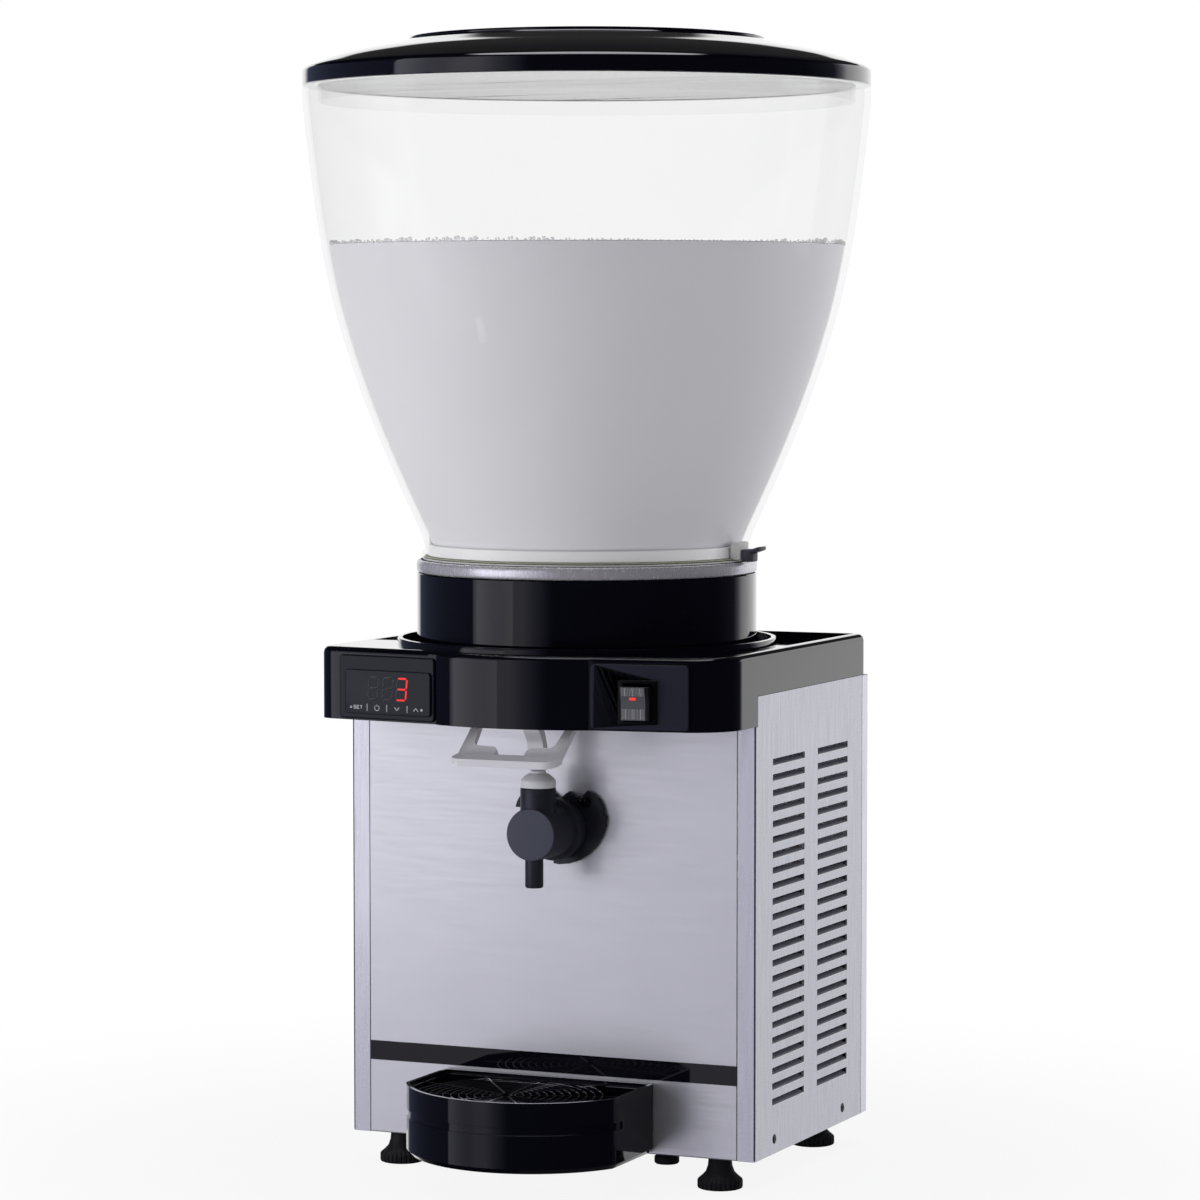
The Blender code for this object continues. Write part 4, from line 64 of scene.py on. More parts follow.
# Places and sizes that several pieces share, in metres
PADS = (("left", -0.0926, 0.0778), ("right", 0.0929, 0.0666))
PAD_Z = 0.3366
PAD_TALL = 0.0432
PAD_ANGLE = math.radians(8.4)
WINDOW_Z = 0.3335
DISPLAY_X = -0.0907
SWITCH_X = 0.0921
TAP_X = 0.0075
TAP_Z = 0.2404
BARREL_Y = -0.0974
NOZZLE_Y = -0.1037
CABINET_SIDE = 0.1499
LOUVRE_ROWS = 23
LOUVRE_TOP = 0.2899
LOUVRE_PITCH = 0.01048
SCREW_PLACES = (-0.0253, 0.1049)
SCREW_Z = 0.0315
SEAT_RADIUS = 0.1172
RIM_LOW = 0.4115
RIM_TOP = 0.4200
TRAY_X = -0.0006
TRAY_ARC_Y = -0.0869
TRAY_ARC = 0.0865
TRAY_HALF = 0.0779
TRAY_BACK = -0.0640
HUB_Y = -0.1300
TO_CAMERA = (0.4039, -0.9148, 0.0)
TO_RIGHT = (0.9148, 0.4039, 0.0)

# Turns a flat outline upright: across becomes Y or X, along becomes Z
UPRIGHT_ALONG_Y = Matrix(((0, 0, 1, 0), (1, 0, 0, 0), (0, 1, 0, 0), (0, 0, 0, 1)))
UPRIGHT_ALONG_X = Matrix(((1, 0, 0, 0), (0, 0, -1, 0), (0, 1, 0, 0), (0, 0, 0, 1)))

# Outside of the bowl and top of the lid: radius and height
BOWL_OUTSIDE = (
    (0.1114, 0.4296), (0.1150, 0.4400), (0.1336, 0.4814), (0.1505, 0.5226), (0.1648, 0.5638),
    (0.1760, 0.6048), (0.1837, 0.6456), (0.1894, 0.6866), (0.1940, 0.7273), (0.1947, 0.7429),
)
LID_OUTSIDE = (
    (0.1948, 0.7440), (0.1948, 0.7526), (0.1940, 0.7546), (0.1926, 0.7558), (0.1895, 0.7573),
    (0.1785, 0.7616), (0.1634, 0.7658), (0.1499, 0.7686), (0.1382, 0.7712), (0.1269, 0.7738),
)


# Small tools for modelling


def quiet():
    """Leaves edit mode and deselects everything."""
    if bpy.context.object and bpy.context.object.mode != "OBJECT":
        bpy.ops.object.mode_set(mode="OBJECT")
    bpy.ops.object.select_all(action="DESELECT")


def only(piece):
    """Makes one piece the selected and active one."""
    quiet()
    piece.select_set(True)
    bpy.context.view_layer.objects.active = piece
    return piece


def settle(piece, matrix=None):
    """Moves a piece's place into its mesh, so that the object sits at the origin."""
    if matrix is not None:
        piece.matrix_world = matrix @ piece.matrix_world
    only(piece)
    bpy.ops.object.transform_apply(location=True, rotation=True, scale=True)
    return piece


def outward(piece, merge=0.000002):
    """Closes doubled points and turns all faces outwards."""
    only(piece)
    bpy.ops.object.mode_set(mode="EDIT")
    bpy.ops.mesh.select_all(action="SELECT")
    bpy.ops.mesh.remove_doubles(threshold=merge)
    bpy.ops.mesh.normals_make_consistent(inside=False)
    bpy.ops.object.mode_set(mode="OBJECT")
    return piece


def turned(name, rings, steps=96, matrix=None, closed_low=False, closed_high=False, loop=False):
    """Adds a circle and extrudes it ring by ring: each ring is a radius and a height."""
    quiet()
    radius, height = rings[0]
    bpy.ops.mesh.primitive_circle_add(vertices=steps, radius=radius, location=(0, 0, height))
    piece = settle(bpy.context.object)
    piece.name = name
    bpy.ops.object.mode_set(mode="EDIT")
    bpy.ops.mesh.select_mode(type="EDGE")
    bpy.ops.mesh.select_all(action="SELECT")
    if closed_low:
        bpy.ops.mesh.edge_face_add()
        bpy.ops.mesh.inset(thickness=radius * 0.02)
        bpy.ops.mesh.select_all(action="DESELECT")
        mesh = bmesh.from_edit_mesh(piece.data)
        for edge in mesh.edges:
            edge.select_set(all(v.co.xy.length > radius * 0.995 for v in edge.verts))
        bmesh.update_edit_mesh(piece.data)
    for wide, level in (list(rings[1:]) + ([rings[0]] if loop else [])):
        bpy.ops.mesh.extrude_region_move(TRANSFORM_OT_translate={"value": (0, 0, level - height)})
        ratio = wide / radius
        if abs(ratio - 1) > 1e-6:
            bpy.ops.transform.resize(value=(ratio, ratio, 1), center_override=(0, 0, level))
        radius, height = wide, level
    if closed_high:
        bpy.ops.mesh.edge_face_add()
    bpy.ops.object.mode_set(mode="OBJECT")
    outward(piece)
    return settle(piece, matrix)


def plate(name, outline, low, high, matrix=None):
    """Adds a flat polygon through the outline's points and extrudes it from low to high."""
    quiet()
    bpy.ops.mesh.primitive_circle_add(vertices=len(outline), fill_type="NGON")
    piece = bpy.context.object
    piece.name = name
    for vertex, (across, along) in zip(piece.data.vertices, outline):
        vertex.co = (across, along, low)
    bpy.ops.object.mode_set(mode="EDIT")
    bpy.ops.mesh.select_all(action="SELECT")
    bpy.ops.mesh.extrude_region_move(TRANSFORM_OT_translate={"value": (0, 0, high - low)})
    bpy.ops.object.mode_set(mode="OBJECT")
    outward(piece)
    return settle(piece, matrix)


def block(name, low, high, matrix=None):
    """Adds a cube and scales it to two corners."""
    quiet()
    middle = [(a + b) / 2 for a, b in zip(low, high)]
    bpy.ops.mesh.primitive_cube_add(size=1, location=middle, scale=[b - a for a, b in zip(low, high)])
    piece = bpy.context.object
    piece.name = name
    return settle(piece, matrix)


def rod(name, start, end, radius, steps=48):
    """Adds a cylinder between two points."""
    quiet()
    start, end = Vector(start), Vector(end)
    span = end - start
    bpy.ops.mesh.primitive_cylinder_add(vertices=steps, radius=radius, depth=span.length)
    piece = bpy.context.object
    piece.name = name
    turn = span.to_track_quat("Z", "Y").to_matrix().to_4x4()
    return settle(piece, Matrix.Translation((start + end) / 2) @ turn)


def modify(piece, kind, **values):
    """Adds a modifier, sets its values and applies it."""
    only(piece)
    modifier = piece.modifiers.new(kind.title(), kind)
    for name, value in values.items():
        setattr(modifier, name, value)
    bpy.ops.object.modifier_apply(modifier=modifier.name)
    return piece


def carve(piece, tool, operation="DIFFERENCE", overlaps=False):
    """Cuts a tool from a piece, or joins it on, and removes the tool."""
    modify(piece, "BOOLEAN", object=tool, operation=operation, solver="EXACT", use_self=overlaps)
    bpy.data.objects.remove(tool)
    return piece


def soften(piece, width, segments=2, angle=30.0):
    """Rounds the sharp edges."""
    return modify(piece, "BEVEL", width=width, segments=segments, limit_method="ANGLE",
                  angle_limit=math.radians(angle), use_clamp_overlap=True)


def merge(name, pieces):
    """Joins several pieces into one."""
    quiet()
    for piece in pieces:
        piece.select_set(True)
    bpy.context.view_layer.objects.active = pieces[0]
    bpy.ops.object.join()
    joined = bpy.context.object
    joined.name = name
    return joined


def copied(piece, name, matrix):
    """Copies a piece with its own mesh and moves the copy."""
    twin = piece.copy()
    twin.data = piece.data.copy()
    twin.name = name
    bpy.context.scene.collection.objects.link(twin)
    twin.data.transform(matrix)
    return twin


def cad_copy(node, name):
    """Copies a fixed node's mesh, merges its loose triangles and clears its flat faces."""
    source = frame["nodes"][node]
    piece = bpy.data.objects.new(name, source.data.copy())
    bpy.context.scene.collection.objects.link(piece)
    only(piece)
    bpy.ops.object.mode_set(mode="EDIT")
    bpy.ops.mesh.select_all(action="SELECT")
    bpy.ops.mesh.remove_doubles(threshold=0.00001)
    bpy.ops.mesh.dissolve_limited(angle_limit=math.radians(0.4))
    bpy.ops.object.mode_set(mode="OBJECT")
    return piece


def dress(piece, finish, body, *nodes, angle=32.0, slot=None, level=False):
    """Shades a finished piece, gives it its material and hangs it on its body."""
    only(piece)
    bpy.ops.object.shade_smooth_by_angle(angle=math.radians(angle))
    if level:
        modify(piece, "WEIGHTED_NORMAL", mode="FACE_AREA", weight=100, keep_sharp=True)
    piece.data.name = piece.name
    piece.data.materials.clear()
    piece.data.materials.append(finish)
    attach(piece, body)
    if nodes:
        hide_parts(*nodes)
    return piece


def smooth_rings(rings, per_span=4):
    """Returns more rings on a smooth line through the given ones."""
    points = [Vector(ring) for ring in rings]
    points = [points[0] * 2 - points[1]] + points + [points[-1] * 2 - points[-2]]
    result = []
    for before, start, end, after in zip(points, points[1:], points[2:], points[3:]):
        for number in range(per_span):
            t = number / per_span
            bend = 2 * before - 5 * start + 4 * end - after
            twist = 3 * start - before - 3 * end + after
            result.append((2 * start + (end - before) * t + bend * t * t + twist * t ** 3) / 2)
    result.append(points[-2])
    return [tuple(point) for point in result]


def arc(centre, radius, start, end, steps):
    """Returns points along an arc, its angles in degrees from +X."""
    angles = [math.radians(start + (end - start) * number / steps) for number in range(steps + 1)]
    return [(centre[0] + radius * math.cos(a), centre[1] + radius * math.sin(a)) for a in angles]


def rounded(width, height, radius, centre=(0.0, 0.0), steps=5):
    """Returns the outline of a rectangle with round corners."""
    points = []
    for start, side, up in ((0, 1, 1), (90, -1, 1), (180, -1, -1), (270, 1, -1)):
        corner = (centre[0] + side * (width / 2 - radius), centre[1] + up * (height / 2 - radius))
        points += arc(corner, radius, start, start + 90, steps)
    return points


def face_frame(x, z, proud=0.0):
    """Returns the matrix of a hood pad: X along it, Y up it, Z out of it towards the front."""
    side = math.copysign(1.0, x)
    y = -0.1271 + (abs(x) - 0.0605) * math.tan(PAD_ANGLE) - 0.0020 / math.cos(PAD_ANGLE)
    turn = Matrix.Rotation(side * PAD_ANGLE, 4, "Z") @ Matrix.Rotation(math.pi / 2, 4, "X")
    return Matrix.Translation((x, y, z)) @ turn @ Matrix.Translation((0, 0, proud))


# Finishes


def shader(name, colour, roughness, metallic=0.0):
    """Makes a node material and returns it with its nodes, links and shader."""
    finish = bpy.data.materials.new(name)
    finish.use_nodes = True
    nodes = finish.node_tree.nodes
    main = nodes["Principled BSDF"]
    main.inputs["Base Color"].default_value = (*colour, 1.0)
    main.inputs["Roughness"].default_value = roughness
    main.inputs["Metallic"].default_value = metallic
    return finish, nodes, finish.node_tree.links, main


def noise(nodes, links, scale, stretch=(1.0, 1.0, 1.0), detail=3.0):
    """Adds a noise pattern on Object coordinates and returns its value socket."""
    place = nodes.new("ShaderNodeTexCoord")
    fit = nodes.new("ShaderNodeMapping")
    fit.inputs["Scale"].default_value = stretch
    pattern = nodes.new("ShaderNodeTexNoise")
    pattern.inputs["Scale"].default_value = scale
    pattern.inputs["Detail"].default_value = detail
    links.new(place.outputs["Object"], fit.inputs["Vector"])
    links.new(fit.outputs["Vector"], pattern.inputs["Vector"])
    return pattern.outputs["Fac"]


def spread(nodes, links, value, low, high):
    """Fits a pattern's value between two numbers."""
    fit = nodes.new("ShaderNodeMapRange")
    fit.inputs["From Min"].default_value = 0.3
    fit.inputs["From Max"].default_value = 0.7
    fit.inputs["To Min"].default_value = low
    fit.inputs["To Max"].default_value = high
    links.new(value, fit.inputs["Value"])
    return fit.outputs["Result"]


def tint(nodes, links, value, first, second):
    """Blends two colours by a pattern's value."""
    mix = nodes.new("ShaderNodeMix")
    mix.data_type = "RGBA"
    mix.inputs["A"].default_value = (*first, 1.0)
    mix.inputs["B"].default_value = (*second, 1.0)
    links.new(value, mix.inputs["Factor"])
    return mix.outputs["Result"]


def relief(nodes, links, main, value, strength, distance=0.001):
    """Feeds a pattern into the shader's normal."""
    bump = nodes.new("ShaderNodeBump")
    bump.inputs["Strength"].default_value = strength
    bump.inputs["Distance"].default_value = distance
    links.new(value, bump.inputs["Height"])
    links.new(bump.outputs["Normal"], main.inputs["Normal"])


def shaded(colour, share):
    """Returns a colour made darker or lighter by a share."""
    return tuple(min(1.0, part * share) for part in colour)


def steel(name, colour, low, high, stretch, grain=0.05, metallic=0.75):
    """Brushed metal: drawn out grain in its shine and relief, faint clouds in its colour."""
    finish, nodes, links, main = shader(name, colour, low, metallic)
    lines = noise(nodes, links, 420.0, stretch, 4.0)
    clouds = noise(nodes, links, 9.0, detail=2.0)
    links.new(spread(nodes, links, lines, low, high), main.inputs["Roughness"])
    links.new(tint(nodes, links, spread(nodes, links, clouds, 0.0, 1.0), shaded(colour, 0.985),
                   shaded(colour, 1.01)), main.inputs["Base Color"])
    relief(nodes, links, main, lines, grain, 0.0002)
    return finish


def plastic(name, colour, low, high, scale=900.0, grain=0.02, level=0.5, coat=0.0, coat_bend=1.5):
    """Moulded plastic: fine texture in its relief, soft clouds in its colour and shine."""
    finish, nodes, links, main = shader(name, colour, low)
    fine = noise(nodes, links, scale, detail=2.0)
    clouds = noise(nodes, links, 14.0, detail=2.0)
    links.new(spread(nodes, links, clouds, low, high), main.inputs["Roughness"])
    links.new(tint(nodes, links, spread(nodes, links, clouds, 0.0, 1.0), shaded(colour, 0.97),
                   shaded(colour, 1.03)), main.inputs["Base Color"])
    main.inputs["Specular IOR Level"].default_value = level
    main.inputs["Coat Weight"].default_value = coat
    main.inputs["Coat IOR"].default_value = coat_bend
    main.inputs["Coat Roughness"].default_value = low
    relief(nodes, links, main, fine, grain, 0.0002)
    return finish


def clear_plastic(look):
    """Clear moulded plastic of the bowl."""
    finish, nodes, links, main = shader("clear_plastic", look.clear_colour, 0.02)
    main.inputs["Transmission Weight"].default_value = 1.0
    main.inputs["IOR"].default_value = look.clear_bend
    main.inputs["Coat Weight"].default_value = 0.22
    main.inputs["Coat Roughness"].default_value = 0.02
    main.inputs["Coat IOR"].default_value = 1.4
    waves = noise(nodes, links, 5.0, (1.0, 1.0, 0.6), 1.0)
    links.new(spread(nodes, links, waves, 0.0, 0.02), main.inputs["Roughness"])
    rays = nodes.new("ShaderNodeLightPath")
    clear = nodes.new("ShaderNodeBsdfTransparent")
    clear.inputs["Color"].default_value = (*shaded(look.clear_colour, 0.97), 1.0)
    mix = nodes.new("ShaderNodeMixShader")
    links.new(rays.outputs["Is Shadow Ray"], mix.inputs["Fac"])
    links.new(main.outputs[0], mix.inputs[1])
    links.new(clear.outputs[0], mix.inputs[2])
    links.new(mix.outputs[0], nodes["Material Output"].inputs["Surface"])
    edge = nodes.new("ShaderNodeLayerWeight")
    edge.inputs["Blend"].default_value = 0.25
    links.new(tint(nodes, links, edge.outputs["Facing"], look.clear_colour, look.clear_edge),
              main.inputs["Base Color"])
    return finish


def drink_surface(look):
    """Yogurt drink: even white, with faint clouds in its colour."""
    finish, nodes, links, main = shader("yogurt_drink", look.drink_colour, 0.45)
    clouds = noise(nodes, links, 7.0, (1.0, 1.0, 0.5), 2.0)
    links.new(tint(nodes, links, spread(nodes, links, clouds, 0.0, 1.0), shaded(look.drink_colour, 0.975),
                   shaded(look.drink_colour, 1.01)), main.inputs["Base Color"])
    main.inputs["Specular IOR Level"].default_value = 0.25
    return finish


def lid_inside(look):
    """Underside of the lid: glossy, with long drops across it."""
    finish, nodes, links, main = shader("lid_inside", look.gloss_colour, 0.05)
    drops = noise(nodes, links, 1.0, (5.0, 60.0, 1.0), 4.0)
    fit = drops.node.inputs["Vector"].links[0].from_node
    fit.inputs["Rotation"].default_value = (0.0, 0.0, math.radians(-23.8))
    split = nodes.new("ShaderNodeSeparateXYZ")
    links.new(fit.outputs["Vector"], split.inputs[0])
    near = nodes.new("ShaderNodeMapRange")
    for key, value in zip(("From Min", "From Max", "To Min", "To Max"), (-5.2, -3.6, 1.0, 0.0)):
        near.inputs[key].default_value = value
    links.new(split.outputs["Y"], near.inputs["Value"])
    level = nodes.new("ShaderNodeMath")
    level.operation = "MAXIMUM"
    links.new(spread(nodes, links, drops, 0.0, 0.5), level.inputs[0])
    links.new(near.outputs["Result"], level.inputs[1])
    links.new(level.outputs[0], main.inputs["Specular IOR Level"])
    relief(nodes, links, main, drops, 0.05, 0.0004)
    return finish


def glow(name, colour, strength, base=(0.05, 0.0, 0.0)):
    """Lit plastic."""
    finish, nodes, links, main = shader(name, base, 0.4)
    fine = noise(nodes, links, 300.0, detail=1.0)
    links.new(tint(nodes, links, spread(nodes, links, fine, 0.0, 1.0), shaded(colour, 0.92), colour),
              main.inputs["Emission Color"])
    main.inputs["Emission Strength"].default_value = strength
    return finish


FINISHES = {}


def make_finishes(scene):
    """Makes one material for each slot of the record, and the few that only the looks need."""
    cabinet, hood, tap, bowl = scene.cabinet_look, scene.hood_look, scene.tap_look, scene.bowl_look
    made = {
        "sheet_steel": steel("sheet_steel", cabinet.steel_colour, 0.30, 0.36, (0.06, 1.0, 1.0), 0.012),
        "side_steel": steel("side_steel", cabinet.side_colour, 0.22, 0.30, (1.0, 1.0, 0.06)),
        # The rear panel's steel is the side steel made 40% lighter: a lit copy, painted light on the rear
        # panel.
        "rear_steel_lit": steel("rear_steel_lit", shaded(cabinet.side_colour, 1.40), 0.24, 0.32, (1.0, 1.0, 0.06)),
        "zinc_steel": steel("zinc_steel", (0.44, 0.45, 0.46), 0.42, 0.55, (1.0, 1.0, 1.0), 0.1),
        "magnet_steel": steel("magnet_steel", (0.36, 0.36, 0.38), 0.40, 0.55, (1.0, 1.0, 1.0)),
        "condenser_fin": steel("condenser_fin", (0.60, 0.61, 0.63), 0.35, 0.5, (1.0, 1.0, 0.2)),
        "polished_steel": steel("polished_steel", (0.78, 0.76, 0.82), 0.22, 0.32, (1.0, 1.0, 0.12),
                                0.04, 0.6),
        "black_gloss": plastic("black_gloss", hood.gloss_colour, 0.04, 0.07, grain=0.0, level=0.15, coat=1.0,
                               coat_bend=1.3),
        "lid_gloss": plastic("lid_gloss", hood.gloss_colour, 0.04, 0.07, grain=0.0, level=0.35, coat=1.0,
                             coat_bend=1.4),
        "pad_satin": plastic("pad_satin", hood.pad_colour, 0.16, 0.22, grain=0.01, level=0.22),
        # The right pad's finish is the same black moulding painted paler: painted light.
        "pad_lit_copy": plastic("pad_lit_copy", hood.pad_lit_copy, 0.16, 0.22, grain=0.01, level=0.22),
        "flange_black": plastic("flange_black", (0.010, 0.011, 0.017), 0.22, 0.30, level=0.4),
        "bezel_black": plastic("bezel_black", (0.003, 0.003, 0.004), 0.20, 0.28, level=0.15),
        "lid_inside": lid_inside(hood),
        "black_satin": plastic("black_satin", (0.016, 0.017, 0.022), 0.35, 0.45, grain=0.06),
        "compressor_black": plastic("compressor_black", (0.012, 0.012, 0.013), 0.28, 0.4, 200.0, 0.1),
        "tap_grey": plastic("tap_grey", tap.body_colour, 0.34, 0.44, grain=0.08, level=0.4),
        "tap_face": plastic("tap_face", tap.face_colour, 0.40, 0.50, grain=0.08, level=0.4),
        "white_plastic": plastic("white_plastic", tap.white_colour, 0.30, 0.38, grain=0.03, level=0.4),
        "black_rubber": plastic("black_rubber", (0.012, 0.012, 0.014), 0.55, 0.7, 500.0, 0.15, 0.3),
        "gasket": plastic("gasket", (0.80, 0.80, 0.80), 0.5, 0.6, 500.0, 0.08),
        "seal_line": plastic("seal_line", (0.36, 0.36, 0.27), 0.5, 0.6, 500.0, 0.05),
        "frosted_foot": plastic("frosted_foot", (0.86, 0.86, 0.87), 0.25, 0.35, 60.0, 0.02, 0.4),
        "frosted_lug": plastic("frosted_lug", (0.80, 0.80, 0.77), 0.25, 0.35, 60.0, 0.02, 0.4),
        "foam": plastic("foam", (0.62, 0.52, 0.26), 0.8, 0.95, 120.0, 0.5, 0.2),
        "copper": steel("copper", (0.72, 0.38, 0.24), 0.28, 0.4, (1.0, 1.0, 1.0)),
        "latch_grey": plastic("latch_grey", (0.060, 0.062, 0.080), 0.35, 0.45, grain=0.05),
        "smoked_plastic": plastic("smoked_plastic", (0.008, 0.008, 0.011), 0.16, 0.24, grain=0.02,
                                  level=0.3),
        "display_face": plastic("display_face", hood.display_colour, 0.22, 0.28, grain=0.01, level=0.25),
        "clear_plastic": clear_plastic(bowl),
        "drink": drink_surface(bowl),
        "foam_bubble": plastic("foam_bubble", (0.90, 0.90, 0.92), 0.3, 0.4, 60.0, 0.05, 0.2),
        "lit_red": glow("lit_red", hood.lit_colour, 1.0),
        "dim_segment": plastic("dim_segment", (0.052, 0.054, 0.066), 0.3, 0.4),
        "mark_grey": plastic("mark_grey", (0.42, 0.42, 0.46), 0.4, 0.5),
        "lens_grey": plastic("lens_grey", (0.085, 0.088, 0.098), 0.18, 0.28),
        "lip_shade": plastic("lip_shade", (0.17, 0.165, 0.21), 0.4, 0.5),
        # A near-white finish for the strip under each louvre: a painted highlight along the fold.
        "fold_highlight": plastic("fold_highlight", (0.92, 0.92, 0.95), 0.3, 0.4),
        "seam_shade": plastic("seam_shade", (0.040, 0.038, 0.052), 0.5, 0.6, level=0.1),
        # The rocker's ribs are painted lighter grey than the smoked lens: painted highlights along the ribs.
        "rib_highlight": plastic("rib_highlight", (0.36, 0.36, 0.38), 0.2, 0.3, grain=0.02),
    }
    made["foam_bubble"].node_tree.nodes["Principled BSDF"].inputs["Alpha"].default_value = 0.45
    FINISHES.update(made)


# Sizes and colours


class BowlLook(bpy.types.PropertyGroup):
    """Bowl, drink and lid"""

    wall: bpy.props.FloatProperty(name="Wall", description="Thickness of the bowl's wall", default=0.0045,
                                  min=0.001, unit="LENGTH")
    drink_level: bpy.props.FloatProperty(name="Drink level", description="Height of the drink over the floor",
                                         default=0.6352, unit="LENGTH")
    drink_inset: bpy.props.FloatProperty(name="Drink inset", default=0.0052, unit="LENGTH",
                                         description="How far the drink stays inside the bowl's outside")
    drink_colour: bpy.props.FloatVectorProperty(name="Drink", description="Colour of the yogurt drink",
                                                default=(0.80, 0.795, 0.83), subtype="COLOR")
    clear_colour: bpy.props.FloatVectorProperty(name="Clear", description="Colour of the clear plastic",
                                                default=(0.957, 0.957, 0.957), subtype="COLOR")
    clear_edge: bpy.props.FloatVectorProperty(name="Clear edge", default=(0.90, 0.90, 0.905), subtype="COLOR",
                                              description="Colour of the clear plastic seen along its wall")
    clear_bend: bpy.props.FloatProperty(name="Bend", description="How strongly the clear plastic bends light",
                                        default=1.0, min=1.0, max=2.0)
    bubbles: bpy.props.IntProperty(name="Bubbles", description="Number of foam bubbles at the wall",
                                   default=340, min=0)


class CabinetLook(bpy.types.PropertyGroup):
    """Steel cabinet"""

    steel_colour: bpy.props.FloatVectorProperty(name="Front steel", default=(0.74, 0.74, 0.78),
                                                description="Colour of the front panel", subtype="COLOR")
    side_colour: bpy.props.FloatVectorProperty(name="Side steel", default=(0.64, 0.64, 0.71),
                                               description="Colour of the side panels", subtype="COLOR")
    edge_round: bpy.props.FloatProperty(name="Edge", description="Rounding of the folded sheets",
                                        default=0.0006, unit="LENGTH")
    slot_height: bpy.props.FloatProperty(name="Louvre slot", description="Height of a louvre's slot",
                                         default=0.0044, unit="LENGTH")
    lip_reach: bpy.props.FloatProperty(name="Louvre lip", default=0.0030, unit="LENGTH",
                                       description="How far a louvre's lip turns into the cabinet")


class HoodLook(bpy.types.PropertyGroup):
    """Black hood with its display and switch"""

    gloss_colour: bpy.props.FloatVectorProperty(name="Gloss black", default=(0.0030, 0.0030, 0.0062),
                                                description="Colour of the glossy mouldings", subtype="COLOR")
    pad_colour: bpy.props.FloatVectorProperty(name="Pad", default=(0.007, 0.0075, 0.014), subtype="COLOR",
                                              description="Colour of the left raised pad")
    # The right pad's colour is the pad black painted paler, as painted light.
    pad_lit_copy: bpy.props.FloatVectorProperty(name="Right pad", default=(0.019, 0.020, 0.033), subtype="COLOR",
                                            description="Colour of the right raised pad")
    display_colour: bpy.props.FloatVectorProperty(name="Display", default=(0.009, 0.010, 0.017),
                                                  description="Colour of the display's face", subtype="COLOR")
    lit_colour: bpy.props.FloatVectorProperty(name="Lit red", description="Colour of the lit figure",
                                              default=(1.0, 0.055, 0.045), subtype="COLOR")
    digit_height: bpy.props.FloatProperty(name="Digit", description="Height of the display's figures",
                                          default=0.0146, unit="LENGTH")
    rib_count: bpy.props.IntProperty(name="Ribs", description="Number of ribs on the rocker", default=5)


class TapLook(bpy.types.PropertyGroup):
    """Tap, lever, tray and feet"""

    body_colour: bpy.props.FloatVectorProperty(name="Tap grey", default=(0.020, 0.021, 0.033),
                                               description="Colour of the tap's body", subtype="COLOR")
    face_colour: bpy.props.FloatVectorProperty(name="Tap face", default=(0.055, 0.059, 0.088),
                                               description="Colour of the tap's round front", subtype="COLOR")
    white_colour: bpy.props.FloatVectorProperty(name="White", default=(0.66, 0.65, 0.70), subtype="COLOR",
                                                description="Colour of the lever and the cap")
    grille_rings: bpy.props.IntProperty(name="Rings", description="Number of rings in the grille", default=12)
    spokes: bpy.props.IntProperty(name="Spokes", description="Number of spokes in the grille", default=10)
    knurls: bpy.props.IntProperty(name="Knurls", description="Number of grooves round a foot", default=28)


class StudioLook(bpy.types.PropertyGroup):
    """Stage, camera and lamps"""

    lens: bpy.props.FloatProperty(name="Lens", description="Focal length of the camera in millimetres",
                                  default=131.46)
    left_power: bpy.props.FloatProperty(name="Left", description="Power of the left lamp in watts",
                                        default=2.9)
    near_power: bpy.props.FloatProperty(name="Near left", default=0.4,
                                        description="Power of the lamp close to the left front edge in watts")
    card_power: bpy.props.FloatProperty(name="Card", default=0.75,
                                        description="Power of the pale card in front at the left in watts")
    low_power: bpy.props.FloatProperty(name="Low front", default=2.0,
                                       description="Power of the small low lamp that throws the tap's shadow")
    right_power: bpy.props.FloatProperty(name="Right", description="Power of the lamp behind right in watts",
                                         default=4.0)
    top_power: bpy.props.FloatProperty(name="Top", description="Power of the top lamp in watts", default=4.0)
    air_level: bpy.props.FloatProperty(name="Air", description="Strength of the light from all sides",
                                       default=0.42)


# Pieces


class DISPENSER_OT_bowl(bpy.types.Operator):
    """Clear bowl with its rim, foot and lugs"""

    bl_idname = "dispenser.bowl"
    bl_label = "Bowl"

    def execute(self, context):
        look = context.scene.bowl_look
        low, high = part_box("bowl")
        outside = smooth_rings(BOWL_OUTSIDE)
        foot = 0.1135
        wall = look.wall
        rings = [(0.1075, low.z), (foot - 0.0008, low.z), (foot, low.z + 0.0008), (foot, low.z + 0.0034),
                 (foot - 0.0008, low.z + 0.0042), (0.1114, low.z + 0.0044)]
        rings += outside[:-1]
        rings += [(0.1947, 0.7421), (0.1942, 0.7429), (0.1947 - wall, 0.7429), (0.1942 - wall, 0.7421)]
        rings += [(radius - wall, height) for radius, height in reversed(outside[:-1])]
        rings += [(0.1068, low.z + 0.0040)]
        bowl = turned("clear_bowl", rings, 144, loop=True)
        lugs = []
        for side in (-1, 1):
            lug = block("lug", (0.1100, -0.0090, low.z + 0.0003), (0.1169, 0.0090, low.z + 0.0124))
            soften(lug, 0.0014, 3)
            lugs.append(settle(lug, Matrix.Rotation(0.0 if side > 0 else math.pi, 4, "Z")))
        dress(bowl, FINISHES["clear_plastic"], "bowl", "bowl", slot="clear_plastic")
        dress(merge("bowl_lugs", lugs), FINISHES["frosted_lug"], "bowl", slot="clear_plastic")
        core = turned("bowl_foot_core", [(0.1072, 0.4228), (0.1092, 0.4228), (0.1096, 0.4232),
                                         (0.1088, 0.4300), (0.1074, 0.4306)], 144, loop=True)
        dress(core, FINISHES["frosted_foot"], "bowl", slot="clear_plastic")
        line = turned("bowl_foot_seal", [(0.1072, 0.4218), (0.1116, 0.4218), (0.1120, 0.4221),
                                         (0.1116, 0.4226), (0.1072, 0.4226)], 144, loop=True)
        dress(line, FINISHES["seal_line"], "bowl", slot="gasket")
        return {"FINISHED"}


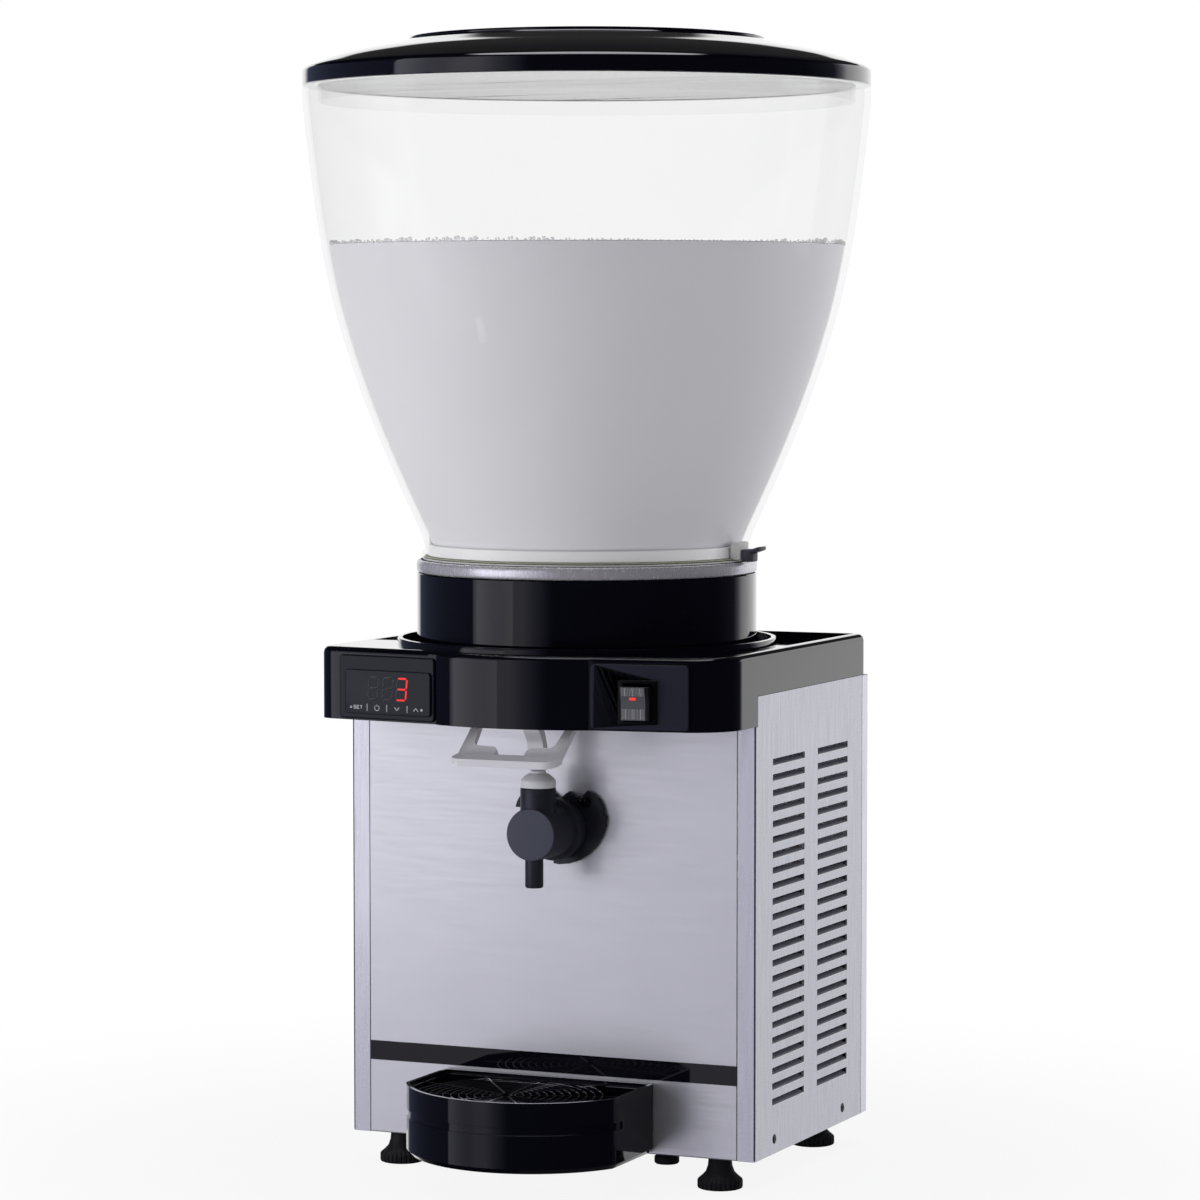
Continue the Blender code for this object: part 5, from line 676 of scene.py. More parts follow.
class DISPENSER_OT_drink(bpy.types.Operator):
    """White drink in the bowl, with its meniscus and a line of foam bubbles at the wall"""

    bl_idname = "dispenser.drink"
    bl_label = "Drink"

    def execute(self, context):
        look = context.scene.bowl_look
        outside = [ring for ring in smooth_rings(BOWL_OUTSIDE) if ring[1] < look.drink_level - 0.004]
        level = look.drink_level
        inset = look.drink_inset
        edge = self.wall_at(level) - inset
        rings = [(0.0955, 0.4150), (0.0962, 0.4206), (0.1055, 0.4216), (0.1061, 0.4222)]
        rings += [(radius - inset, height) for radius, height in outside]
        rings += [(edge - 0.0002, level), (edge - 0.0012, level + 0.0006), (edge - 0.0035, level - 0.0002),
                  (edge - 0.0090, level - 0.0006)]
        drink = turned("yogurt_drink", rings, 144, closed_low=True, closed_high=True)
        dress(drink, FINISHES["drink"], "bowl")
        bubbles = []
        quiet()
        bpy.ops.mesh.primitive_ico_sphere_add(subdivisions=2, radius=1.0)
        bead = bpy.context.object
        golden = 2.399963  # radians, so that no two bubbles line up
        for number in range(look.bubbles):
            angle = number * golden
            bunch = 0.55 + 0.45 * math.sin(angle * 3.0 + 0.7) * math.sin(angle + 2.1)
            size = 0.0006 + 0.0016 * bunch * ((number * 7919) % 97) / 97
            out = edge - size * 0.4 - 0.0012 * ((number * 104729) % 89) / 89
            rise = level + size * 0.35 + 0.0026 * bunch * ((number * 613) % 83) / 83
            spot = Matrix.Translation((out * math.cos(angle), out * math.sin(angle), rise))
            bubbles.append(copied(bead, "bubble", spot @ Matrix.Scale(size, 4)))
        bpy.data.objects.remove(bead)
        if bubbles:
            foam = merge("drink_foam", bubbles)
            dress(foam, FINISHES["foam_bubble"], "bowl", angle=180.0)
        return {"FINISHED"}

    @staticmethod
    def wall_at(height):
        """Returns the bowl's outside radius at a height."""
        rings = smooth_rings(BOWL_OUTSIDE)
        for (near, low), (far, high) in zip(rings, rings[1:]):
            if low <= height <= high:
                return near + (far - near) * (height - low) / (high - low)
        raise ValueError("the drink's level lies outside the bowl")


class DISPENSER_OT_lid(bpy.types.Operator):
    """Glossy black lid with its raised disc, rolled edge and plug ring"""

    bl_idname = "dispenser.lid"
    bl_label = "Lid"

    def execute(self, context):
        top = smooth_rings(LID_OUTSIDE, 3)
        disc, high = 0.1221, 0.7768
        rings = [(0.1841, 0.7438), (0.1850, 0.7434), (0.1938, 0.7433), (0.1945, 0.7436)] + top
        rings += [(0.1240, 0.7741), (disc + 0.0004, 0.7743), (disc, 0.7748), (disc, high - 0.0010),
                  (disc - 0.0004, high - 0.0003), (disc - 0.0012, high), (0.1150, high), (0.0600, high),
                  (0.0200, high)]
        lid = turned("bowl_lid", rings, 144, closed_high=True)
        dress(lid, FINISHES["lid_gloss"], "lid", "lid", slot="black_gloss")
        under = turned("lid_inside", [(0.1841, 0.7438), (0.1700, 0.7441), (0.1200, 0.7446),
                                      (0.0300, 0.7448)], 144, closed_high=True)
        only(under)
        bpy.ops.object.mode_set(mode="EDIT")
        bpy.ops.mesh.select_all(action="SELECT")
        bpy.ops.mesh.normals_make_consistent(inside=False)
        bpy.ops.mesh.flip_normals()
        bpy.ops.object.mode_set(mode="OBJECT")
        dress(under, FINISHES["lid_inside"], "lid", slot="black_gloss")
        plug = turned("lid_plug", [(0.1818, 0.7437), (0.1816, 0.7335), (0.1820, 0.7329), (0.1833, 0.7329),
                                   (0.1838, 0.7335), (0.1839, 0.7437)], 144, loop=True)
        dress(plug, FINISHES["clear_plastic"], "lid", slot="clear_plastic")
        return {"FINISHED"}


class DISPENSER_OT_seat(bpy.types.Operator):
    """Black band, rolled steel rim, gasket and latch under the bowl"""

    bl_idname = "dispenser.seat"
    bl_label = "Cooled seat"

    def execute(self, context):
        low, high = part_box("evaporator_housing")
        rings = [(0.1148, low.z), (0.1168, low.z), (SEAT_RADIUS, low.z + 0.0004),
                 (SEAT_RADIUS, high.z - 0.0006), (0.1168, high.z), (0.1148, high.z)]
        band = turned("seat_band", rings, 144, loop=True)
        dress(band, FINISHES["black_gloss"], "base", "evaporator_housing", slot="black_gloss")
        low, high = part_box("bowl_gasket")
        rings = [(0.1066, low.z), (0.1129, low.z), (0.1130, low.z + 0.0003), (0.1130, high.z - 0.0003),
                 (0.1129, high.z), (0.1066, high.z)]
        gasket = turned("seat_gasket", rings, 128, loop=True)
        dress(gasket, FINISHES["gasket"], "base", "bowl_gasket", slot="gasket")
        low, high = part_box("evaporator_dish")
        top, rim = high.z, RIM_LOW
        if top > RIM_TOP + 0.0100:
            top = RIM_TOP
        rings = [(0.0978, 0.3790), (0.0978, top - 0.0012), (0.0986, top - 0.0002), (0.1000, top),
                 (0.1150, top), (0.1162, top - 0.0005), (0.1169, top - 0.0016), (SEAT_RADIUS, top - 0.0030),
                 (SEAT_RADIUS, rim + 0.0020), (0.1168, rim + 0.0008), (0.1158, rim), (0.0990, rim),
                 (0.0990, 0.3790)]
        rim_ring = turned("seat_rim", rings, 144, loop=True)
        dress(rim_ring, FINISHES["polished_steel"], "base", slot="polished_steel")
        low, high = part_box("bowl_latch")
        near = low.x
        arm = block("arm", (near, -0.0072, low.z), (near + 0.0070, 0.0072, high.z - 0.0040))
        wing = plate("wing", [(near + 0.0044, 0.4256), (high.x, 0.4284), (high.x, 0.4312),
                              (near + 0.0044, 0.4284)], -0.0072, 0.0072, UPRIGHT_ALONG_X)
        step = block("step", (near, -0.0050, low.z), (near + 0.0076, 0.0050, high.z - 0.0065))
        for part, width in ((arm, 0.0012), (wing, 0.0010), (step, 0.0008)):
            soften(part, width, 3)
        latch = merge("bowl_catch", [arm, wing, step])
        dress(latch, FINISHES["latch_grey"], "bowl_latch", "bowl_latch", slot="latch_grey")
        return {"FINISHED"}


class DISPENSER_OT_cabinet(bpy.types.Operator):
    """Folded steel panels with pressed louvres, side screws and the black stripe"""

    bl_idname = "dispenser.cabinet"
    bl_label = "Cabinet"
    COLUMNS = ((-0.0297, 0.0592), (0.0544, 0.0583))

    def execute(self, context):
        look = context.scene.cabinet_look
        for node, name, finish in (("front_panel", "steel_front", "sheet_steel"),
                                   ("side_panel_left", "steel_side_left", "side_steel"),
                                   ("side_panel_right", "steel_side_right", "side_steel"),
                                   ("rear_panel", "steel_rear", "rear_steel_lit")):
            panel = cad_copy(node, name)
            if "side" in node:
                carve(panel, self.slots(look, -1 if "left" in node else 1))
            soften(panel, look.edge_round, 1, 50.0)
            dress(panel, FINISHES[finish], "base", node, angle=5.0, slot="sheet_steel")
        stripe = soften(cad_copy("front_stripe", "black_stripe"), 0.00012, 1)
        dress(stripe, FINISHES["black_gloss"], "base", "front_stripe", slot="black_gloss")
        # Dark strips down the front corners, where the side panels meet the front: painted shade in the
        # corner joints.
        shade_strips = []
        for side in (-1, 1):
            near, far = sorted((side * 0.1491, side * 0.15004))
            shade_strip = block("shade_strip", (near, -0.06134, 0.0223), (far, -0.0600, 0.3137))
            shade_strips.append(soften(shade_strip, 0.0001, 1))
        dress(merge("corner_shade_strips", shade_strips), FINISHES["seam_shade"], "base", slot="sheet_steel")
        for side, hand in ((-1, "left"), (1, "right")):
            self.lips(look, side, "louvre_lips_" + hand)
            self.screws(side, "side_screws_" + hand)
        return {"FINISHED"}

    def slots(self, look, side):
        """The room of all the slots of one side panel, a little higher than in the solid."""
        cuts = []
        for start, length in self.COLUMNS:
            cut = block("slot", (-0.004, -length / 2, -look.slot_height), (0.004, length / 2, 0.0))
            cuts += self.rows(cut, side, start + length / 2)
        return merge("slots", cuts)

    def lips(self, look, side, name):
        """Pressed lip of each slot, turned up into the cabinet in a darker grey of painted shade, and a
        near-white strip of painted highlight along the fold under it.
        """
        inner, fold_highlights = [], []
        for start, length in self.COLUMNS:
            inner += self.rows(self.lip(look, length), side, start + length / 2)
            # A thin near-white strip under each slot: a painted highlight along the lip's fold.
            fold = block("fold", (-0.0004, -length / 2 - 0.0006, -look.slot_height - 0.0009),
                         (0.00008, length / 2, -look.slot_height))
            fold_highlights += self.rows(fold, side, start + length / 2)
        dress(merge(name, inner), FINISHES["lip_shade"], "base", angle=60.0, slot="sheet_steel")
        dress(merge(name + "_fold_highlights", fold_highlights), FINISHES["fold_highlight"], "base", angle=60.0, slot="sheet_steel")

    @staticmethod
    def rows(piece, side, middle):
        """Copies a piece to every row of a side panel's column."""
        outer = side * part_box("side_panel_right")[1].x
        copies = []
        for row in range(LOUVRE_ROWS):
            spot = Matrix.Translation((outer, middle, LOUVRE_TOP - LOUVRE_PITCH * row))
            if side < 0:
                spot = spot @ Matrix.Rotation(math.pi, 4, "Z")
            copies.append(copied(piece, "copy", spot))
        bpy.data.objects.remove(piece)
        return copies

    @staticmethod
    def lip(look, length):
        """One lip: a strip that starts at the slot's lower edge and rises into the cabinet."""
        reach, foot = look.lip_reach, -look.slot_height
        outline = [(-0.0004, foot - 0.0003), (-0.0004, foot + 0.0001), (-0.0010, foot + 0.0007),
                   (-0.0010 - reach, foot + 0.0021), (-0.0014 - reach, foot + 0.0017),
                   (-0.0014, foot - 0.0003)]
        return plate("lip", outline, -length / 2 + 0.0001, length / 2 - 0.0001, UPRIGHT_ALONG_X)

    @staticmethod
    def screws(side, name):
        """Two countersunk screws with a cross slot, low on a side panel."""
        heads = []
        rings = [(0.0030, -0.0022), (0.0034, -0.0012), (0.0035, 0.0000), (0.0029, 0.0004), (0.0012, 0.0005)]
        turn = Matrix.Rotation(side * math.pi / 2, 4, "Y")
        for y in SCREW_PLACES:
            spot = Matrix.Translation((side * CABINET_SIDE, y, SCREW_Z)) @ turn
            head = turned("screw", rings, 24, None, closed_low=True, closed_high=True)
            for angle in (30.0, 120.0):
                slot = block("slot", (-0.0014, -0.0003, -0.0008), (0.0014, 0.0003, 0.0010),
                             Matrix.Rotation(math.radians(angle), 4, "Z"))
                carve(head, slot)
            heads.append(settle(head, spot))
        screws = merge(name, heads)
        dress(screws, FINISHES["black_satin"], "base", slot="black_satin")


class DISPENSER_OT_hood(bpy.types.Operator):
    """Black hood with raised pads, the collar round the seat and the recess behind it"""

    bl_idname = "dispenser.hood"
    bl_label = "Hood"

    def execute(self, context):
        hood = cad_copy("top_hood", "hood_shell")
        for hand, x, width in PADS:
            carve(hood, block("old_pad", (-width / 2 - 0.002, -0.024, -0.0019),
                              (width / 2 + 0.002, 0.024, 0.01), face_frame(x, PAD_Z)))
        soften(hood, 0.0007, 2, 40.0)
        dress(hood, FINISHES["black_gloss"], "base", "top_hood", angle=35.0, slot="black_gloss", level=True)
        low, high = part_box("top_hood")
        rings = [(0.1276, 0.3586), (0.1304, 0.3586), (0.1307, 0.3600), (0.1307, high.z - 0.0010),
                 (0.1303, high.z - 0.0001), (0.1280, high.z - 0.0001), (0.1276, high.z - 0.0006)]
        collar = turned("hood_collar", rings, 144, loop=True)
        dress(collar, FINISHES["black_gloss"], "base", slot="black_gloss")
        for hand, x, width in PADS:
            pad = plate("pad_" + hand, rounded(width, PAD_TALL, 0.0030), -0.0022, 0.0, face_frame(x, PAD_Z))
            window_x = DISPLAY_X if x < 0 else SWITCH_X
            wide, tall = (0.0590, 0.0245) if x < 0 else (0.0220, 0.0275)
            hole = block("window", (-wide / 2 - 0.0004, -tall / 2 - 0.0004, -0.01),
                         (wide / 2 + 0.0004, tall / 2 + 0.0004, 0.01), face_frame(window_x, WINDOW_Z))
            carve(pad, hole)
            soften(pad, 0.0012, 4, 50.0)
            # The right pad takes the paler copy of the pad finish, painted light.
            dress(pad, FINISHES["pad_satin" if x < 0 else "pad_lit_copy"], "base", angle=35.0, slot="black_satin",
                  level=True)
        return {"FINISHED"}


class DISPENSER_OT_display(bpy.types.Operator):
    """Thermostat face with its three figures and the row of touch marks"""

    bl_idname = "dispenser.display"
    bl_label = "Display"

    def execute(self, context):
        look = context.scene.hood_look
        place = face_frame(DISPLAY_X, WINDOW_Z)
        face = plate("display_face", rounded(0.0698, 0.0298, 0.0028), 0.0004, 0.0018, place)
        soften(face, 0.0005, 3, 50.0)
        box = block("box", (-0.0293, -0.0120, -0.0420), (0.0293, 0.0120, 0.0006), place)
        face = merge("display_face", [face, box])
        dress(face, FINISHES["display_face"], "base", "thermostat", slot="black_satin")
        lit = set("abcdg")
        parts = {"lit": [], "dim": []}
        size = look.digit_height
        for number, x in enumerate((-0.0115, 0.0005, 0.0118)):
            for letter, outline in self.segments(size).items():
                on = number == 2 and letter in lit
                bar = plate("bar", outline, 0.0018, 0.00192 if on else 0.00186,
                            place @ Matrix.Translation((x, 0.0029, 0)))
                parts["lit" if on else "dim"].append(bar)
        dress(merge("display_lit", parts["lit"]), FINISHES["lit_red"], "base", angle=180.0)
        dress(merge("display_dim", parts["dim"]), FINISHES["dim_segment"], "base", angle=180.0)
        dress(self.marks(place), FINISHES["mark_grey"], "base", angle=60.0)
        return {"FINISHED"}

    @staticmethod
    def segments(size):
        """Returns the outlines of a figure's seven bars, leaning a little."""
        half, bar, gap = size / 2, size * 0.085, size * 0.03
        side = size * 0.27
        lean = 0.09

        def flat(level):
            return [(-side + gap, level), (-side + gap + bar / 2, level + bar / 2),
                    (side - gap - bar / 2, level + bar / 2), (side - gap, level),
                    (side - gap - bar / 2, level - bar / 2), (-side + gap + bar / 2, level - bar / 2)]

        def tall(x, low, high):
            return [(x, low), (x + bar / 2, low + bar / 2), (x + bar / 2, high - bar / 2), (x, high),
                    (x - bar / 2, high - bar / 2), (x - bar / 2, low + bar / 2)]

        shapes = {"a": flat(half), "g": flat(0.0), "d": flat(-half), "b": tall(side, gap, half - gap),
                  "c": tall(side, -half + gap, -gap), "f": tall(-side, gap, half - gap),
                  "e": tall(-side, -half + gap, -gap)}
        return {letter: [(x + z * lean, z) for x, z in outline] for letter, outline in shapes.items()}

    @staticmethod
    def marks(place):
        """Touch marks: a setting mark, power ring, down and up arrows, a lamp dot and three dividers."""
        line = 0.00028
        row = -0.0103
        pieces = []

        def stroke(points):
            for (x0, z0), (x1, z1) in zip(points, points[1:]):
                run = Vector((x1 - x0, z1 - z0))
                side = Vector((-run.y, run.x)).normalized() * line
                outline = [(x0 + side.x, z0 + side.y), (x0 - side.x, z0 - side.y), (x1 - side.x, z1 - side.y),
                           (x1 + side.x, z1 + side.y)]
                pieces.append(plate("stroke", outline, 0.0018, 0.00188, place))

        for x in (-0.0164, -0.0003, 0.0164):
            stroke([(x, row - 0.0024), (x, row + 0.0024)])
        stroke([(x - 0.0083, z + row) for x, z in arc((0.0, 0.0), 0.0019, 130.0, 410.0, 14)])
        stroke([(-0.0083, row + 0.0008), (-0.0083, row + 0.0023)])
        stroke([(0.0061, row + 0.0011), (0.0080, row - 0.0011), (0.0099, row + 0.0011)])
        stroke([(0.0216, row - 0.0011), (0.0235, row + 0.0011), (0.0254, row - 0.0011)])
        pieces.append(plate("dot", arc((0.0281, row), 0.0009, 0.0, 340.0, 17), 0.0018, 0.00188, place))
        pieces.append(plate("wedge", [(-0.0307, row - 0.0009), (-0.0285, row - 0.0009),
                                      (-0.0296, row + 0.0010)],
                            0.0018, 0.00188, place))
        left = -0.0274
        stroke([(left + 0.0018, row + 0.0010), (left, row + 0.0010), (left, row), (left + 0.0018, row),
                (left + 0.0018, row - 0.0010), (left, row - 0.0010)])
        left += 0.0026
        stroke([(left + 0.0018, row + 0.0010), (left, row + 0.0010), (left, row - 0.0010),
                (left + 0.0018, row - 0.0010)])
        stroke([(left, row), (left + 0.0014, row)])
        left += 0.0026
        stroke([(left, row + 0.0010), (left + 0.0018, row + 0.0010)])
        stroke([(left + 0.0009, row + 0.0010), (left + 0.0009, row - 0.0010)])
        return merge("display_marks", pieces)


class DISPENSER_OT_switch(bpy.types.Operator):
    """Rocker switch: bezel, ribbed lens and red lamp"""

    bl_idname = "dispenser.switch"
    bl_label = "Switch"

    def execute(self, context):
        look = context.scene.hood_look
        place = face_frame(SWITCH_X, WINDOW_Z)
        bezel = plate("switch_bezel", rounded(0.0267, 0.0294, 0.0012), 0.0003, 0.0022, place)
        soften(bezel, 0.0006, 3, 50.0)
        carve(bezel, block("room", (-0.0099, -0.0126, -0.02), (0.0099, 0.0126, 0.02), place))
        walls = block("walls", (-0.0109, -0.0136, -0.0235), (0.0109, 0.0136, 0.0006), place)
        carve(walls, block("room", (-0.0099, -0.0126, -0.0220), (0.0099, 0.0126, 0.02), place))
        bezel = merge("switch_bezel", [bezel, walls])
        dress(bezel, FINISHES["bezel_black"], "base", "switch_housing", angle=20.0, slot="black_satin")
        pivot = place @ Matrix.Translation((0, 0, -0.0040))
        tilt = pivot @ Matrix.Rotation(math.radians(7.0), 4, "X") @ pivot.inverted() @ place
        low, high, face = -0.0102, 0.0125, 0.0090
        side = [(low, face), (0.0011, face - 0.0016), (high, face), (0.0106, -0.0024), (0.0, -0.0078),
                (-0.0102, -0.0024)]
        turn = UPRIGHT_ALONG_Y
        rocker = plate("switch_key", side, -0.0096, 0.0096, tilt @ turn)
        soften(rocker, 0.0005, 3, 20.0)
        dress(rocker, FINISHES["smoked_plastic"], "switch_rocker", "switch_rocker", slot="smoked_plastic",
              level=True)
        lens_low, lens_high = -0.0096, 0.0070
        lens = plate("switch_lens", [(low + 0.0003, face + 0.0002), (0.0011, face - 0.0014),
                                     (high - 0.0003, face + 0.0002), (high - 0.0003, face - 0.0012),
                                     (0.0011, face - 0.0028), (low + 0.0003, face - 0.0012)],
                     lens_low, lens_high, tilt @ turn)
        dress(lens, FINISHES["lens_grey"], "switch_rocker", slot="smoked_plastic")
        # The ribs carry a lighter finish as painted highlights.
        ribs = []
        for number in range(look.rib_count * 3):
            x = lens_low + 0.0010 + (lens_high - lens_low - 0.0020) * number / (look.rib_count * 3 - 1)
            wide = 0.00030 if number % 5 == 2 else 0.00012
            for start, end in ((low + 0.0010, -0.0024), (0.0062, high - 0.0008)):
                near = face + 0.0003 - 0.0016 * (1 - abs(start - 0.0011) / 0.0114)
                far = face + 0.0003 - 0.0016 * (1 - abs(end - 0.0011) / 0.0114)
                outline = [(start, near), (end, far), (end, far - 0.0005), (start, near - 0.0005)]
                ribs.append(plate("rib", outline, x - wide, x + wide, tilt @ turn))
        dress(merge("switch_ribs", ribs), FINISHES["rib_highlight"], "switch_rocker", angle=60.0,
              slot="smoked_plastic")
        lamp = block("switch_lamp", (-0.0036, 0.0034, face - 0.0016), (0.0008, 0.0052, face - 0.0004), tilt)
        soften(lamp, 0.0002, 1)
        dress(lamp, FINISHES["lit_red"], "switch_rocker")
        return {"FINISHED"}


class DISPENSER_OT_tap(bpy.types.Operator):
    """Grey tap with its barrel, flange, screws, spout and white cap"""

    bl_idname = "dispenser.tap"
    bl_label = "Tap"

    def execute(self, context):
        x, z = TAP_X, TAP_Z
        forward = Matrix.Translation((x, 0, z)) @ Matrix.Rotation(math.pi / 2, 4, "X")
        rings = [(0.0110, 0.0560), (0.0110, 0.0657), (0.0206, 0.0657), (0.0212, 0.0664), (0.0212, 0.0742),
                 (0.0206, 0.0756), (0.0179, 0.0757), (0.0179, 0.1086), (0.0176, 0.1096), (0.0170, 0.1102),
                 (0.0160, 0.1103), (0.0040, 0.1103)]
        body = turned("tap_shell", rings, 96, forward, closed_low=True, closed_high=True)
        barrel = turned("barrel", [(0.0060, 0.2405), (0.0120, 0.2405), (0.0120, 0.2703), (0.0117, 0.2710),
                                   (0.0060, 0.2710)], 64, Matrix.Translation((x, BARREL_Y, 0)),
                        closed_low=True, closed_high=True)
        carve(body, barrel, "UNION")
        soften(body, 0.0006, 2, 50.0)
        dress(body, FINISHES["tap_grey"], "base", "tap_body", slot="tap_grey")
        body.data.materials.append(FINISHES["tap_face"])
        for face in body.data.polygons:
            if face.center.y < -0.1095:
                face.material_index = 1
        rings = [(0.0040, 0.2262), (0.00615, 0.2262), (0.00615, 0.2056), (0.0058, 0.2046), (0.0052, 0.2043),
                 (0.0044, 0.2043), (0.0040, 0.2047)]
        nozzle = turned("tap_spout", rings, 48, Matrix.Translation((x, NOZZLE_Y, 0)), loop=True)
        dress(nozzle, FINISHES["tap_grey"], "base", "tap_nozzle", slot="tap_grey")
        flange = cad_copy("tap_flange", "tap_plate")
        carve(flange, rod("notch", (0.0222, -0.07, 0.2702), (0.0222, -0.05, 0.2702), 0.0076))
        carve(flange, block("room", (-0.0300, -0.07, 0.2200), (-0.0100, -0.05, 0.2535)))
        carve(flange, rod("notch", (-0.0150, -0.07, 0.2700), (-0.0150, -0.05, 0.2700), 0.0070))
        soften(flange, 0.0008, 2, 50.0)
        dress(flange, FINISHES["flange_black"], "base", "tap_flange", slot="tap_grey", level=True)
        for side, node in ((-1, "flange_screw_left"), (1, "flange_screw_right")):
            low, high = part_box(node)
            centre = (low + high) / 2
            back = Matrix.Translation((centre.x, high.y, centre.z)) @ Matrix.Rotation(math.pi / 2, 4, "X")
            rings = [(0.0040, 0.0), (0.0042, 0.0004), (0.0041, 0.0013), (0.0034, 0.0022), (0.0022, 0.0028),
                     (0.0008, 0.0030)]
            head = turned(node + "_head", rings, 32, None, closed_low=True, closed_high=True)
            for angle in (20.0, 110.0):
                carve(head, block("slot", (-0.0022, -0.0004, 0.0012), (0.0022, 0.0004, 0.0040),
                                  Matrix.Rotation(math.radians(angle), 4, "Z")))
            settle(head, back)
            dress(head, FINISHES["black_gloss"], "base", node, slot="polished_steel")
        rings = [(0.0027, 0.2714), (0.0118, 0.2714), (0.0120, 0.2718), (0.0120, 0.2756), (0.0118, 0.2764),
                 (0.0106, 0.2776), (0.0088, 0.2792), (0.0074, 0.2803), (0.0058, 0.2808), (0.0054, 0.2812),
                 (0.0053, 0.2822), (0.0050, 0.2825), (0.0027, 0.2825)]
        cap = turned("tap_cover", rings, 64, Matrix.Translation((x, BARREL_Y, 0)), loop=True)
        dress(cap, FINISHES["white_plastic"], "base", "tap_cap", slot="white_plastic")
        lever = soften(cad_copy("tap_lever", "lever_grip"), 0.0009, 3, 35.0)
        dress(lever, FINISHES["white_plastic"], "tap_lever", "tap_lever", angle=40.0, slot="white_plastic",
              level=True)
        return {"FINISHED"}


class DISPENSER_OT_tray(bpy.types.Operator):
    """Black drip tray with its grooved front, and the grille of rings and spokes"""

    bl_idname = "dispenser.tray"
    bl_label = "Tray"

    def execute(self, context):
        tray = soften(cad_copy("drip_tray", "tray_shell"), 0.0007, 2, 35.0)
        dress(tray, FINISHES["black_gloss"], "drip_tray", "drip_tray", angle=35.0, slot="black_gloss",
              level=True)
        self.grille(context.scene.tap_look)
        return {"FINISHED"}

    def grille(self, look):
        """Rings and spokes round a small hub, cut to the tray's inside, in a thin border."""
        low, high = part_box("drip_grille")
        centre = Vector((TRAY_X, HUB_Y, 0.0))
        reach = 0.0640
        pieces = []
        hub, half = 0.0060, 0.0007
        for number in range(look.grille_rings):
            radius = hub + (reach - hub) * number / (look.grille_rings - 1)
            rings = [(radius - half, low.z), (radius + half, low.z), (radius + half, high.z - 0.0006),
                     (radius + half * 0.4, high.z), (radius - half * 0.4, high.z),
                     (radius - half, high.z - 0.0006)]
            pieces.append(turned("ring", rings, 72, Matrix.Translation(centre), loop=True))
        for number in range(look.spokes):
            angle = 2 * math.pi * (number + 0.5) / look.spokes
            spoke = plate("spoke", [(-0.0009, low.z), (0.0009, low.z), (0.0009, high.z - 0.0006),
                                    (0.0004, high.z + 0.00015), (-0.0004, high.z + 0.00015),
                                    (-0.0009, high.z - 0.0006)], 0.0062, 0.1400, UPRIGHT_ALONG_Y)
            pieces.append(settle(spoke, Matrix.Translation(centre) @ Matrix.Rotation(angle, 4, "Z")))
        web = merge("tray_web", pieces)
        carve(web, plate("room", self.outline(0.0040), low.z - 0.001, high.z + 0.001), "INTERSECT", True)
        border = plate("border", self.outline(0.0030), low.z, high.z)
        carve(border, plate("room", self.outline(0.0052), low.z - 0.001, high.z + 0.001))
        soften(border, 0.0003, 1, 50.0)
        dress(merge("tray_grille", [web, border]), FINISHES["black_gloss"], "drip_grille", "drip_grille",
              angle=50.0, slot="black_gloss")

    @staticmethod
    def outline(inset):
        """The tray's D shape, drawn in by an inset."""
        half, radius = TRAY_HALF - inset, TRAY_ARC - inset
        angle = math.degrees(math.acos(half / radius))
        back = TRAY_BACK - inset
        front = arc((TRAY_X, TRAY_ARC_Y), radius, 180.0 + angle, 360.0 - angle, 64)
        return [(TRAY_X - half, back)] + front + [(TRAY_X + half, back)]


class DISPENSER_OT_feet(bpy.types.Operator):
    """Screw feet with a grooved base"""

    bl_idname = "dispenser.feet"
    bl_label = "Feet"

    def execute(self, context):
        look = context.scene.tap_look
        rings = [(0.0140, 0.0), (0.0150, 0.0004), (0.01535, 0.0012), (0.01535, 0.0054), (0.0150, 0.0062),
                 (0.0123, 0.0085), (0.0098, 0.0111), (0.0083, 0.0154), (0.0078, 0.0210), (0.0040, 0.0212),
                 (0.0040, 0.0326), (0.0036, 0.0330)]
        foot = turned("foot", rings, look.knurls * 4, closed_low=True, closed_high=True)
        for vertex in foot.data.vertices:
            spread_out = vertex.co.xy.length
            turn = math.atan2(vertex.co.y, vertex.co.x)
            if spread_out > 0.0145 and 0.0002 < vertex.co.z < 0.0080:
                groove = max(0.0, math.cos(turn * look.knurls)) ** 2
                vertex.co.x *= 1 - 0.05 * groove
                vertex.co.y *= 1 - 0.05 * groove
        for node in ("foot_front_left", "foot_front_right", "foot_rear_left", "foot_rear_right"):
            low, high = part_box(node)
            centre = (low + high) / 2
            copy = copied(foot, node + "_knob", Matrix.Translation((centre.x, centre.y, 0)))
            dress(copy, FINISHES["black_rubber"], node, node, slot="black_rubber")
        bpy.data.objects.remove(foot)
        return {"FINISHED"}


class DISPENSER_OT_finishes(bpy.types.Operator):
    """Finishes of the pieces that keep their fixed shape"""

    bl_idname = "dispenser.finishes"
    bl_label = "Finishes"

    def execute(self, context):
        for name, node in frame["nodes"].items():
            node.data.materials.clear()
            node.data.materials.append(FINISHES[NODE_SLOTS[name]])
        return {"FINISHED"}


